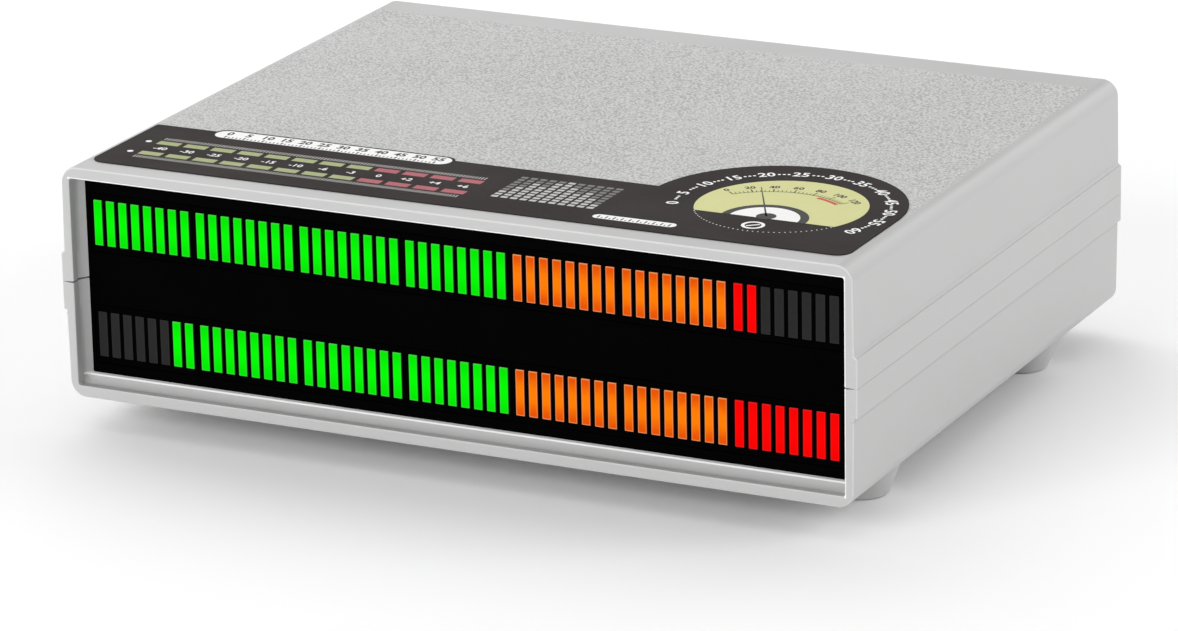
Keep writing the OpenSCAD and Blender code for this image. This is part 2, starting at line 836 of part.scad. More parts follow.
module pot_shaft() {
    color(metal) rod(knob_x, control_z, shaft_r, seat_y - shaft_in, shaft_end_y);
}

module sensitivity_knob() {
    end_y = knob_y + knob_l;
    color(part_black) difference() {
        rod(knob_x, control_z, knob_r, knob_y, end_y);
        rod(knob_x, control_z, shaft_r + shaft_gap, knob_y - overlap_cut, knob_y + knob_bore_d);
        for (k = [0 : knob_flutes - 1])
            let (turn = (k + 0.5) * 360 / knob_flutes)
                rod(knob_x + knob_r * sin(turn), control_z + knob_r * cos(turn), flute_r,
                    knob_y - overlap_cut, end_y + overlap_cut);
        block(knob_x, pointer_w, end_y - pointer_w, end_y + overlap_cut, control_z,
              control_z + knob_r + overlap_cut);
    }
}

// From the middle of the case to the middle of the overall box, which the knob makes deeper at the rear.
translate([0, -middle_y, 0]) {
    top_cover();
    bottom_cover();
    front_panel();
    rear_panel();
    top_label();
    case_screws();
    display_board();
    driver_chips();
    main_board();
    board_screws();
    controller_chip();
    crystal();
    filter_capacitors();
    voltage_regulator();
    display_connector();
    main_connector();
    ribbon_cable();
    dc_jack();
    dc_jack_pin();
    rca_block();
    rca_shells();
    rca_insert_left();
    rca_insert_right();
    power_switch();
    power_button();
    mode_switch();
    mode_button();
    sensitivity_pot();
    pot_nut();
    pot_shaft();
    sensitivity_knob();
    for (row = ROWS, i = [1 : module_count]) {
        led_housing(row, i);
        led_bars(row, i);
    }
}
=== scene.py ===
"""Looks of a two-row LED music spectrum display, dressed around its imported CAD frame.

Metres, +Z up, front towards -Y. The origin lies below the middle of the overall box, so the knob at the rear
puts the middle of the case CASE_MIDDLE_Y millimetres from it. Each class below is one sub-assembly: the case
shells, the lit front, the printed film on the top, the rear controls, the nodes that keep their shape, and
the studio they stand in. Sizes of pieces are in millimetres, those of finishes and of the studio in metres.
"""

import logging
import math
from dataclasses import dataclass, field
from enum import Enum
from functools import cache, reduce
from typing import Any, Callable, Iterable, Optional, Sequence, Union

import bmesh
import bpy
from mathutils import Matrix, Vector


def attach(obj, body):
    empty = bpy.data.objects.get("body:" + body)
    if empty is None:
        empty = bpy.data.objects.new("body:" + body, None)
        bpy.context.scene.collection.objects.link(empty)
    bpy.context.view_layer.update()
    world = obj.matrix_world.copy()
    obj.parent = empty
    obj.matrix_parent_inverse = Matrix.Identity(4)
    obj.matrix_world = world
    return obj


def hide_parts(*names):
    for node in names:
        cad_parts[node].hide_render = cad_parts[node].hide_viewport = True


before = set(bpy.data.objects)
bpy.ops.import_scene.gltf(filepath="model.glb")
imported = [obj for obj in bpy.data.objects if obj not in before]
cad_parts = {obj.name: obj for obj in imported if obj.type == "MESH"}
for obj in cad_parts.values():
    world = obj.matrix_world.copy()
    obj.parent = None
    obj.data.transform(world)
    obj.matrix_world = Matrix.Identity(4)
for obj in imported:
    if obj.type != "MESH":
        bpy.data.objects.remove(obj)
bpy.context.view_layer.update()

MM = 0.001
CASE_MIDDLE_Y = -4.4
INK_SINK = 0.004
LOG = logging.getLogger("spectrum_display")

Obj = bpy.types.Object
Node = bpy.types.Node
Tree = bpy.types.NodeTree
Socket = bpy.types.NodeSocket
Point = tuple[float, float]
Triple = tuple[float, float, float]
Oblong = tuple[float, float, float, float]
Ring = tuple[float, float, list[Point]]
MarkRow = tuple[int, Point, float, Point]
MarkArc = tuple[int, float, Point]
Source = Union[float, int, tuple, Socket]


class Body(Enum):
    """The CAD bodies that pieces ride on."""

    CASE = "case"
    LEVEL = "level_control"
    POWER = "power_key"
    MODE = "mode_key"


class Join(Enum):
    """The ways to bring two closed solids together."""

    UNION = "UNION"
    CUT = "DIFFERENCE"


def place(obj: Obj, body: Body, slot: Optional[str] = None, stands_for: Sequence[str] = ()) -> Obj:
    """Hand a finished piece to the frame and report it.

    Args:
        obj: The piece, at the origin, with its place in its mesh.
        body: The CAD body that it rides on.
        slot: The record's material slot of its finish; not used.
        stands_for: CAD nodes that it takes the place of.

    Returns:
        The same object.
    """
    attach(obj, body.value)
    if stands_for:
        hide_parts(*stands_for)
    LOG.info("piece %s on %s, %d faces", obj.name, body.value, len(obj.data.polygons))
    return obj


def polar(centre: Point, radius: float, angle: float) -> Point:
    """Return the point at a radius and an angle in radians round a centre."""
    return centre[0] + radius * math.cos(angle), centre[1] + radius * math.sin(angle)


# Nodes


class NodeSketch:
    """Short calls for adding and joining the nodes of one tree."""

    def __init__(self, tree: Tree) -> None:
        """Keep the tree that the calls add to."""
        self.tree = tree

    def feed(self, socket: Socket, value: Source) -> None:
        """Join a socket to another, or set its own value.

        Args:
            socket: The input.
            value: An output to join it to, or a number, vector or colour.
        """
        if isinstance(value, Socket):
            self.tree.links.new(value, socket)
        elif socket.type == "RGBA" and len(value) == 3:
            socket.default_value = (*value, 1.0)
        else:
            socket.default_value = value

    def dress(self, node: Node, **inputs: Source) -> None:
        """Feed a node's inputs by name, with underscores for spaces."""
        for name, value in inputs.items():
            self.feed(node.inputs[name.replace("_", " ")], value)

    def add(self, kind: str, settings: Optional[dict[str, Any]] = None, **inputs: Source) -> Node:
        """Add one node.

        Args:
            kind: Blender's name of the node's type.
            settings: Properties of the node.
            **inputs: Values or sockets for its inputs, with underscores for spaces.

        Returns:
            The node.
        """
        node = self.tree.nodes.new(kind)
        for name, value in (settings or {}).items():
            setattr(node, name, value)
        self.dress(node, **inputs)
        return node

    def result(self, kind: str, settings: dict[str, Any], values: Sequence[Source],
               slots: Sequence[int] = range(5), output: int = 0) -> Socket:
        """Add one node whose inputs are told apart by their order.

        Args:
            kind: Blender's name of the node's type.
            settings: Properties of the node.
            values: Values or sockets for its inputs.
            slots: Which input each value goes to.
            output: Which output is asked for.

        Returns:
            That output.
        """
        node = self.add(kind, settings)
        for slot, value in zip(slots, values):
            self.feed(node.inputs[slot], value)
        return node.outputs[output]

    def math(self, operation: str, a: Source, b: Source = 0.0) -> Socket:
        """Return the result of a sum on two numbers."""
        return self.result("ShaderNodeMath", {"operation": operation}, (a, b))

    def times(self, first: Source, *others: Source) -> Source:
        """Return the product of numbers."""
        return reduce(lambda a, b: self.math("MULTIPLY", a, b), others, first)

    def vector(self, operation: str, a: Source, b: Source) -> Socket:
        """Return the result of a sum on two vectors."""
        return self.result("ShaderNodeVectorMath", {"operation": operation}, (a, b))

    def scaled(self, a: Source, factor: Source) -> Socket:
        """Return a vector times a number."""
        return self.result("ShaderNodeVectorMath", {"operation": "SCALE"}, (a, factor), (0, 3))

    def step(self, value: Source, low: Source, high: Source, start: Source = 0.0,
             end: Source = 1.0) -> Socket:
        """Return a soft step from start to end as value goes from low to high."""
        return self.result("ShaderNodeMapRange", {"interpolation_type": "SMOOTHSTEP"},
                           (value, low, high, start, end))

    def spread(self, value: Source, start: Source, end: Source) -> Socket:
        """Return a number from start to end as value goes from 0 to 1."""
        return self.result("ShaderNodeMapRange", {"interpolation_type": "LINEAR"},
                           (value, 0.0, 1.0, start, end))

    def blend(self, share: Source, a: Source, b: Source) -> Socket:
        """Return a colour that goes from a to b as share goes from 0 to 1."""
        return self.result("ShaderNodeMix", {"data_type": "RGBA"}, (share, a, b), (0, 6, 7), 2)

    def spot(self) -> Socket:
        """Return the object's own coordinates."""
        return self.add("ShaderNodeTexCoord").outputs["Object"]

    def facing(self) -> Sequence[Socket]:
        """Return the three numbers of the surface's normal."""
        return self.axes(self.add("ShaderNodeNewGeometry").outputs["Normal"])

    def axes(self, vector: Source) -> Sequence[Socket]:
        """Return the three numbers of a vector."""
        return self.add("ShaderNodeSeparateXYZ", None, Vector=vector).outputs

    def noise(self, scale: Source, detail: float = 2.0, at: Optional[Socket] = None) -> Socket:
        """Return noise from 0 to 1 with a stated number of waves in a metre."""
        return self.add("ShaderNodeTexNoise", None, Vector=at or self.spot(), Scale=scale,
                        Detail=detail).outputs[0]

    def cells(self, settings: dict[str, Any], **inputs: Source) -> Socket:
        """Return the distance that a cell pattern gives."""
        return self.add("ShaderNodeTexVoronoi", settings, **inputs).outputs["Distance"]

    def group(self, tree: Tree, **inputs: Source) -> Node:
        """Add a shader node group with its own values."""
        return self.add("ShaderNodeGroup", {"node_tree": tree}, **inputs)

    def bump(self, height: Source, depth: float) -> Socket:
        """Return normals of a relief of a stated depth in metres."""
        return self.add("ShaderNodeBump", None, Distance=depth, Height=height).outputs[0]


def open_group(name: str, inputs: dict[str, float], outputs: Sequence[str]) -> tuple[NodeSketch, Node, Node]:
    """Start a shader node group.

    Args:
        name: Name of the group.
        inputs: Names of the inputs, with what they are unless set.
        outputs: Names of the outputs.

    Returns:
        The sketch to add nodes with, the node that gives the inputs and the one that takes the outputs.
    """
    tree = bpy.data.node_groups.new(name, "ShaderNodeTree")
    for label, value in inputs.items():
        socket = tree.interface.new_socket(label, in_out="INPUT", socket_type="NodeSocketFloat")
        socket.default_value = value
    for label in outputs:
        tree.interface.new_socket(label, in_out="OUTPUT", socket_type="NodeSocketFloat")
    return NodeSketch(tree), tree.nodes.new("NodeGroupInput"), tree.nodes.new("NodeGroupOutput")


@cache
def pebble_grain() -> Tree:
    """Build the group that makes the pebbled relief of grained plastic.

    Returns:
        The group, which gives the height of the relief and a tone that follows it, for painted light and
        shade on the pebbles.
    """
    sketch, given, gives = open_group("pebble grain", {"Cell": 0.001, "Warp": 0.5}, ("Height", "Tone"))
    cell = given.outputs["Cell"]
    per_metre = sketch.math("DIVIDE", 1.0, cell)
    at = sketch.spot()
    drift = sketch.add("ShaderNodeTexNoise", None, Vector=at, Detail=1.0,
                       Scale=sketch.times(per_metre, 0.7)).outputs["Color"]
    drift = sketch.vector("SUBTRACT", drift, (0.5, 0.5, 0.5))
    bent = sketch.vector("ADD", at, sketch.scaled(drift, sketch.times(cell, given.outputs["Warp"])))
    cells = sketch.cells({"feature": "SMOOTH_F1"}, Vector=bent, Scale=per_metre, Smoothness=0.15)
    domes = sketch.step(cells, 0.3, 0.8, 1.0, 0.0)
    fine = sketch.noise(sketch.times(per_metre, 1.6), 2.0, bent)
    height = sketch.math("ADD", sketch.times(domes, 0.7), sketch.times(fine, 0.3))
    # Tone is painted light and shade that follows the relief: pale on the tops of the pebbles, dark between
    # them
    sketch.dress(gives, Height=height, Tone=sketch.step(height, 0.2, 0.85))
    return sketch.tree


@cache
def surface_soil() -> Tree:
    """Build the group that makes uneven patches, specks and settled dust.

    Returns:
        The group, with one mask for each of the three.
    """
    sketch, given, gives = open_group("surface soil", {"Patch": 0.03, "Speck": 0.0006},
                                      ("Patches", "Specks", "Settled"))
    patches = sketch.noise(sketch.math("DIVIDE", 1.0, given.outputs["Patch"]), 4.0)
    specks = sketch.noise(sketch.math("DIVIDE", 1.0, given.outputs["Speck"]), 1.0)
    settled = sketch.times(sketch.step(sketch.facing()[2], 0.6, 1.0), sketch.step(patches, 0.3, 0.8))
    sketch.dress(gives, Patches=sketch.step(patches, 0.32, 0.68), Specks=sketch.step(specks, 0.68, 0.78),
                 Settled=settled)
    return sketch.tree


@cache
def edge_wear() -> Tree:
    """Build the group that marks the edges that hands and cloths rub.

    Returns:
        The group, with a mask of the edges.
    """
    sketch, given, gives = open_group("edge wear", {"Break": 0.004}, ("Edge",))
    sharp = sketch.add("ShaderNodeNewGeometry").outputs["Pointiness"]
    broken = sketch.noise(sketch.math("DIVIDE", 1.0, given.outputs["Break"]), 3.0)
    sketch.dress(gives, Edge=sketch.times(sketch.step(sharp, 0.51, 0.58), sketch.step(broken, 0.3, 0.6)))
    return sketch.tree


# Finishes


def shade(colour: Triple, share: float) -> Triple:
    """Return a share of a colour, darker below 1 and paler above it."""
    return tuple(share * part for part in colour)


@dataclass(frozen=True)
class Finish:
    """A finish that makes its own node material once."""

    name: str

    def material(self) -> bpy.types.Material:
        """Make the material at its first use.

        Returns:
            The material of this finish.
        """
        found = bpy.data.materials.get(self.name)
        if found:
            return found
        made = bpy.data.materials.new(self.name)
        made.use_nodes = True
        self.paint(NodeSketch(made.node_tree), made.node_tree.nodes["Principled BSDF"])
        return made

    def paint(self, sketch: NodeSketch, shader: Node) -> None:
        """Add the finish's nodes; each kind of finish has its own."""
        raise NotImplementedError

    def on(self, obj: Obj) -> Obj:
        """Put the finish on every face of an object.

        Args:
            obj: The object to dress.

        Returns:
            The same object.
        """
        obj.data.materials.clear()
        obj.data.materials.append(self.material())
        return obj

    def on_node(self, name: str) -> None:
        """Put the finish on a CAD node that keeps its shape, and report it."""
        self.on(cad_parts[name])
        LOG.info("node %s in %s", name, self.name)


@dataclass(frozen=True)
class CasePlastic(Finish):
    """Light grey moulded plastic, pebbled on the flat of the top and satin elsewhere, with painted light and
    shade: a darker top, dark dips and pale tops in the pebbles, highlights on the rounded ends and the front
    opening, and a shadow line under the side bands.
    """

    tone: Triple = (0.545, 0.545, 0.543)
    # painted shade: surfaces that face up get this darker tone, which stands in for how the light falls on
    # the top
    deck: Triple = (0.41, 0.41, 0.408)
    # painted light and shade of the pebbles: pale tops and dark dips between them, which also keep the
    # grained field darker than the sides
    lit_crown: Triple = (0.575, 0.575, 0.573)
    shaded_hollow: Triple = (0.36, 0.36, 0.358)
    # painted highlight: paler tone along the rounded rim edges at both ends of the case
    edge: Triple = (0.74, 0.74, 0.738)
    # painted highlight: near white tone for the edges of the front opening and the ledge below it
    opening_highlight: Triple = (0.95, 0.95, 0.948)
    # painted shadow: dark tone of the thin line under the side bands
    band_shadow: Triple = (0.42, 0.42, 0.415)
    rough: Point = (0.36, 0.6)
    gloss: float = 0.22
    cell: float = 0.62 * MM
    depth: float = 0.13 * MM
    spark: Point = (2600.0, 0.05)
    field_half_w: float = 95.9 * MM
    field_rear: float = (CASE_MIDDLE_Y + 70.6) * MM
    field_front: float = (CASE_MIDDLE_Y - 73.0) * MM
    fade: float = 0.9 * MM
    rim_from: float = 79.0 * MM
    rim_fade: float = 0.1 * MM
    seam_z: float = 36.0 * MM
    lip_x: Point = (97.5 * MM, 98.0 * MM)
    lip_z: Point = (61.1 * MM, 61.6 * MM)
    ledge_z: Point = (12.5 * MM, 13.05 * MM)
    ledge_y: Point = (-81.6 * MM, -79.0 * MM)
    soft: float = 0.05 * MM
    hair: float = 0.001 * MM
    band_shadow_z: float = 28.25 * MM
    band_shadow_half: Point = (0.05 * MM, 0.22 * MM)
    side_x: Point = (99.0 * MM, 99.3 * MM)

    def between(self, sketch: NodeSketch, value: Source, span: Point) -> Socket:
        """Return 1 where a value lies in a span, with a soft border inside it."""
        return sketch.times(sketch.step(value, span[0], span[0] + self.soft),
                            sketch.step(value, span[1] - self.soft, span[1], 1.0, 0.0))

    def opening_highlight_mask(self, sketch: NodeSketch, at: Sequence[Socket]) -> Socket:
        """Mark the edges of the front opening that carry a painted highlight: its top, its right and the
        ledge below.

        Args:
            sketch: Adds the nodes.
            at: The three numbers of the place.

        Returns:
            The mask.
        """
        x, y, z = at
        front = CASE_MIDDLE_Y * MM - self.rim_from
        across = self.between(sketch, x, (-self.lip_x[1], self.lip_x[1]))
        upright = self.between(sketch, z, (2 * self.seam_z - self.lip_z[1], self.lip_z[1]))
        top = sketch.times(across, self.between(sketch, z, self.lip_z))
        right = sketch.times(upright, self.between(sketch, x, self.lip_x))
        ahead = sketch.step(y, front, front + self.hair, 1.0, 0.0)
        lip = sketch.times(sketch.math("MAXIMUM", top, right), ahead)
        ledge = sketch.times(self.between(sketch, z, self.ledge_z), self.between(sketch, y, self.ledge_y),
                             across)
        return sketch.math("MAXIMUM", lip, ledge)

    def band_shadow_line(self, sketch: NodeSketch, x: Source, z: Source) -> Socket:
        """Mark the thin line of painted shadow below the side bands.

        Args:
            sketch: Adds the nodes.
            x: Place across the case.
            z: Height over the floor.

        Returns:
            The mask.
        """
        off = sketch.math("ABSOLUTE", sketch.math("SUBTRACT", z, self.band_shadow_z))
        outside = sketch.step(sketch.math("ABSOLUTE", x), *self.side_x)
        return sketch.times(sketch.step(off, *self.band_shadow_half, 1.0, 0.0), outside,
                            sketch.spread(sketch.noise(140.0), 0.4, 0.9))

    def rim_highlight(self, sketch: NodeSketch, y: Source, facing: Source) -> Socket:
        """Mark the rounded edges at both ends of the case, where a highlight is painted.

        Args:
            sketch: Adds the nodes.
            y: Place along the case.
            facing: How far the surface faces along the case.

        Returns:
            The mask.
        """
        facing = sketch.math("ABSOLUTE", facing)
        from_middle = sketch.math("ABSOLUTE", sketch.math("SUBTRACT", y, CASE_MIDDLE_Y * MM))
        return sketch.times(sketch.step(facing, 0.2, 0.45), sketch.step(facing, 0.8, 0.97, 1.0, 0.0),
                            sketch.step(from_middle, self.rim_from, self.rim_from + self.rim_fade),
                            sketch.spread(sketch.noise(170.0, 3.0), 0.75, 1.0))

    def pebbled(self, sketch: NodeSketch, x: Source, y: Source, up: Source) -> Socket:
        """Mark the pebbled field on the flat of the top.

        Args:
            sketch: Adds the nodes.
            x: Place across the case.
            y: Place along the case.
            up: How far the surface faces up.

        Returns:
            The mask.
        """
        fade = self.fade
        aside = sketch.math("ABSOLUTE", x)
        return sketch.times(
            sketch.step(aside, self.field_half_w - fade, self.field_half_w + fade, 1.0, 0.0),
            sketch.step(y, self.field_rear - fade, self.field_rear + fade, 1.0, 0.0),
            sketch.step(y, self.field_front - fade, self.field_front + fade),
            sketch.step(up, 0.9, 0.97))

    def paint(self, sketch: NodeSketch, shader: Node) -> None:
        """Add pebbles inside the field, a faint spark texture outside it and uneven patches, with painted
        light and shade: a darker top, dark dips between the pebbles, highlights on the rounded ends and the
        front opening, and a shadow line under the side bands.

        Args:
            sketch: Adds the nodes.
            shader: The material's shader.
        """
        x, y, z = sketch.axes(sketch.spot())
        _, facing, up = sketch.facing()
        inside = self.pebbled(sketch, x, y, up)
        pebbles = sketch.group(pebble_grain(), Cell=self.cell, Warp=0.7).outputs
        patches = sketch.group(surface_soil(), Patch=0.05, Speck=0.5 * MM).outputs["Patches"]
        # painted light and shade on the pebbles, from the tone that follows their relief
        grained = sketch.blend(pebbles["Tone"], self.shaded_hollow, self.lit_crown)
        # painted shade: darker tone on the surfaces that face up
        colour = sketch.blend(sketch.step(up, 0.75, 1.0), self.tone, self.deck)
        colour = sketch.blend(inside, colour, grained)
        colour = sketch.blend(sketch.spread(patches, 0.0, 0.2), colour, shade(self.tone, 1.035))
        # painted highlight on the rounded rim edges at both ends
        colour = sketch.blend(sketch.spread(self.rim_highlight(sketch, y, facing), 0.0, 0.75), colour, self.edge)
        # painted shadow line under the side bands
        colour = sketch.blend(self.band_shadow_line(sketch, x, z), colour, self.band_shadow)
        # painted highlight along the top and right of the opening and along the ledge
        colour = sketch.blend(self.opening_highlight_mask(sketch, (x, y, z)), colour, self.opening_highlight)
        waves, share = self.spark
        height = sketch.math("ADD", sketch.times(inside, pebbles["Height"]),
                             sketch.times(sketch.noise(waves), share))
        rough = sketch.math("SUBTRACT", sketch.spread(inside, *self.rough), sketch.spread(patches, 0.0, 0.05))
        sketch.dress(shader, Base_Color=colour, Roughness=rough, Normal=sketch.bump(height, self.depth),
                     Specular_IOR_Level=self.gloss)


@dataclass(frozen=True)
class DarkMoulding(Finish):
    """Dark or coloured moulded plastic with a fine spark texture and rubbed edges."""

    tone: Triple = (0.012, 0.012, 0.013)
    worn: Triple = (0.03, 0.03, 0.031)
    rough: Point = (0.42, 0.58)
    gloss: float = 0.35
    grain: float = 2200.0
    depth: float = 0.02 * MM

    def paint(self, sketch: NodeSketch, shader: Node) -> None:
        """Add the spark texture, uneven gloss, dust and rubbed edges.

        Args:
            sketch: Adds the nodes.
            shader: The material's shader.
        """
        soil = sketch.group(surface_soil(), Patch=0.012, Speck=0.4 * MM).outputs
        rubbed = sketch.group(edge_wear(), Break=0.002).outputs["Edge"]
        colour = self.tone
        for mask, share in ((soil["Patches"], 0.3), (rubbed, 0.6), (soil["Settled"], 0.12)):
            colour = sketch.blend(sketch.spread(mask, 0.0, share), colour, self.worn)
        sketch.dress(shader, Base_Color=colour, Roughness=sketch.spread(soil["Patches"], *self.rough),
                     Normal=sketch.bump(sketch.noise(self.grain), self.depth), Specular_IOR_Level=self.gloss)


@dataclass(frozen=True)
class LightBar(Finish):
    """A diffused light bar that glows where its lit attribute is 1."""

    middle: Triple = (0.0, 0.96, 0.0)
    end: Triple = (0.0, 0.8, 0.0)
    rim: Triple = (0.06, 0.6, 0.06)
    unlit: Triple = (0.02, 0.02, 0.0198)
    mottle: float = 900.0
    grain: float = 3000.0
    depth: float = 0.01 * MM
    gloss: float = 0.02

    def paint(self, sketch: NodeSketch, shader: Node) -> None:
        """Add the fall of light towards the ends, the pale rim and the diffuser's mottle.

        Args:
            sketch: Adds the nodes.
            shader: The material's shader.
        """
        lit, along, across = [sketch.add("ShaderNodeAttribute", {"attribute_name": name}).outputs["Fac"]
                              for name in ("lit", "along", "across")]
        far = sketch.math("ABSOLUTE", along)
        side = sketch.math("ABSOLUTE", across)
        cloud = sketch.noise(self.mottle)
        fall = sketch.step(sketch.math("ADD", far, sketch.spread(cloud, -0.15, 0.15)), 0.1, 0.95)
        edge = sketch.math("MAXIMUM", sketch.step(side, 0.72, 0.86), sketch.step(far, 0.95, 0.98))
        glow = sketch.blend(fall, self.middle, self.end)
        glow = sketch.blend(sketch.spread(edge, 0.0, 0.85), glow, self.rim)
        glow = sketch.blend(sketch.step(side, 0.86, 0.98), glow, shade(self.end, 0.12))
        dull = sketch.blend(cloud, self.unlit, shade(self.unlit, 1.25))
        dull = sketch.blend(sketch.spread(edge, 0.0, 0.5), dull, shade(self.unlit, 1.6))
        sketch.dress(shader, Emission_Color=sketch.blend(lit, (0.0, 0.0, 0.0), glow), Emission_Strength=1.0,
                     Base_Color=sketch.blend(lit, dull, shade(self.end, 0.02)),
                     Roughness=sketch.spread(cloud, 0.4, 0.6),
                     Normal=sketch.bump(sketch.noise(self.grain, 1.0), self.depth),
                     Specular_IOR_Level=self.gloss)


@dataclass(frozen=True)
class PrintedFilm(Finish):
    """Charcoal printed film with a fine matt texture and a soft uneven sheen."""

    tone: Triple = (0.028, 0.023, 0.0225)
    faded: Triple = (0.036, 0.03, 0.029)
    dust: Triple = (0.2, 0.2, 0.2)
    grain: float = 1800.0
    depth: float = 0.012 * MM
    gloss: float = 0.02

    def paint(self, sketch: NodeSketch, shader: Node) -> None:
        """Add the printed solid's mottle, dust specks and the film's matt texture.

        Args:
            sketch: Adds the nodes.
            shader: The material's shader.
        """
        soil = sketch.group(surface_soil(), Patch=0.02, Speck=0.5 * MM).outputs
        mottle = sketch.noise(self.grain, 3.0)
        colour = sketch.blend(sketch.times(mottle, soil["Patches"]), self.tone, self.faded)
        colour = sketch.blend(sketch.spread(soil["Specks"], 0.0, 0.12), colour, self.dust)
        sketch.dress(shader, Base_Color=colour, Roughness=sketch.spread(soil["Patches"], 0.5, 0.62),
                     Normal=sketch.bump(mottle, self.depth), Specular_IOR_Level=self.gloss)


@dataclass(frozen=True)
class PrintInk(Finish):
    """Screen-printed ink: a solid that thins into small pinholes and uneven patches."""

    tone: Triple = (0.7, 0.7, 0.692)
    thin: Triple = (0.5, 0.5, 0.492)
    grain: float = 4000.0
    depth: float = 0.006 * MM
    gloss: float = 0.15

    def paint(self, sketch: NodeSketch, shader: Node) -> None:
        """Add the ink's uneven cover.

        Args:
            sketch: Adds the nodes.
            shader: The material's shader.
        """
        soil = sketch.group(surface_soil(), Patch=0.006, Speck=0.3 * MM).outputs
        cover = sketch.math("MAXIMUM", sketch.spread(soil["Patches"], 0.0, 0.18),
                            sketch.spread(soil["Specks"], 0.0, 0.6))
        sketch.dress(shader, Base_Color=sketch.blend(cover, self.tone, self.thin),
                     Roughness=sketch.spread(cover, 0.5, 0.65),
                     Normal=sketch.bump(sketch.noise(self.grain), self.depth), Specular_IOR_Level=self.gloss)


@dataclass(frozen=True)
class BrightMetal(Finish):
    """Plated or rolled metal with fine drawn streaks and tarnish in patches."""

    tone: Triple = (0.66, 0.66, 0.64)
    tarnish: Triple = (0.42, 0.41, 0.38)
    streak: Triple = (400.0, 6000.0, 400.0)
    rough: Point = (0.22, 0.4)
    depth: float = 0.006 * MM

    def paint(self, sketch: NodeSketch, shader: Node) -> None:
        """Add the streaks, the tarnish and the brighter rubbed edges.

        Args:
            sketch: Adds the nodes.
            shader: The material's shader.
        """
        drawn = sketch.noise(1.0, 3.0, sketch.vector("MULTIPLY", sketch.spot(), self.streak))
        patches = sketch.group(surface_soil(), Patch=0.004, Speck=0.3 * MM).outputs["Patches"]
        rubbed = sketch.group(edge_wear(), Break=0.0015).outputs["Edge"]
        colour = sketch.blend(sketch.times(patches, sketch.spread(drawn, 0.2, 0.6)), self.tone, self.tarnish)
        colour = sketch.blend(sketch.spread(rubbed, 0.0, 0.5), colour, shade(self.tone, 1.15))
        sketch.dress(shader, Base_Color=colour, Roughness=sketch.spread(drawn, *self.rough),
                     Normal=sketch.bump(drawn, self.depth), Metallic=1.0)


@dataclass(frozen=True)
class BoardLaminate(Finish):
    """Lacquered glass-fibre board with copper runs and the weave showing through."""

    tone: Triple = (0.012, 0.075, 0.03)
    run: Triple = (0.03, 0.16, 0.06)
    pad: Triple = (0.55, 0.53, 0.48)
    weave: float = 0.6 * MM
    run_cell: float = 5.0 * MM
    depth: float = 0.02 * MM

    def paint(self, sketch: NodeSketch, shader: Node) -> None:
        """Add the weave, the runs under the lacquer and rows of solder pads.

        Args:
            sketch: Adds the nodes.
            shader: The material's shader.
        """
        at = sketch.spot()
        runs = sketch.cells({"feature": "DISTANCE_TO_EDGE"}, Vector=at, Scale=1.0 / self.run_cell,
                            Randomness=0.35)
        runs = sketch.step(runs, 0.06, 0.09, 1.0, 0.0)
        pads = sketch.cells({"feature": "F1"}, Vector=at, Scale=2.0 / self.run_cell, Randomness=0.15)
        pads = sketch.step(pads, 0.16, 0.2, 1.0, 0.0)
        threads = sketch.axes(sketch.vector("MULTIPLY", at, (2 * math.pi / self.weave,) * 3))
        waves = reduce(lambda a, b: sketch.math("ADD", a, b), [sketch.math("SINE", axis) for axis in threads])
        cloth = sketch.spread(waves, 0.4, 0.6)
        colour = sketch.blend(runs, self.tone, self.run)
        colour = sketch.blend(sketch.times(cloth, 0.12), colour, self.run)
        colour = sketch.blend(pads, colour, self.pad)
        relief = sketch.math("ADD", sketch.math("MAXIMUM", runs, pads), sketch.times(cloth, 0.15))
        sketch.dress(shader, Base_Color=colour, Roughness=sketch.spread(runs, 0.38, 0.28),
                     Normal=sketch.bump(relief, self.depth))


@dataclass(frozen=True)
class RibbonJacket(Finish):
    """Grey flat cable with one ridge for each conductor and a coloured first wire."""

    tone: Triple = (0.3, 0.3, 0.31)
    first: Triple = (0.45, 0.03, 0.03)
    handled: Triple = (0.4, 0.4, 0.4)
    pitch: float = 1.27 * MM
    first_x: float = -11.5 * MM
    fade: float = 0.1 * MM
    depth: float = 0.2 * MM

    def paint(self, sketch: NodeSketch, shader: Node) -> None:
        """Add the ridges with painted shade in the valleys between them, the coloured edge and light handling
        marks.

        Args:
            sketch: Adds the nodes.
            shader: The material's shader.
        """
        x = sketch.axes(sketch.spot())[0]
        ridge = sketch.math("ABSOLUTE", sketch.math("SINE", sketch.times(x, math.pi / self.pitch)))
        patches = sketch.group(surface_soil(), Patch=0.01, Speck=0.4 * MM).outputs["Patches"]
        # painted shade: darker in the valleys between the ridges
        colour = sketch.blend(sketch.spread(ridge, 0.5, 0.0), self.tone, shade(self.tone, 0.6))
        edge = sketch.step(x, self.first_x, self.first_x + self.fade, 1.0, 0.0)
        colour = sketch.blend(edge, colour, self.first)
        colour = sketch.blend(sketch.spread(patches, 0.0, 0.15), colour, self.handled)
        sketch.dress(shader, Base_Color=colour, Roughness=sketch.spread(patches, 0.45, 0.6),
                     Normal=sketch.bump(ridge, self.depth))


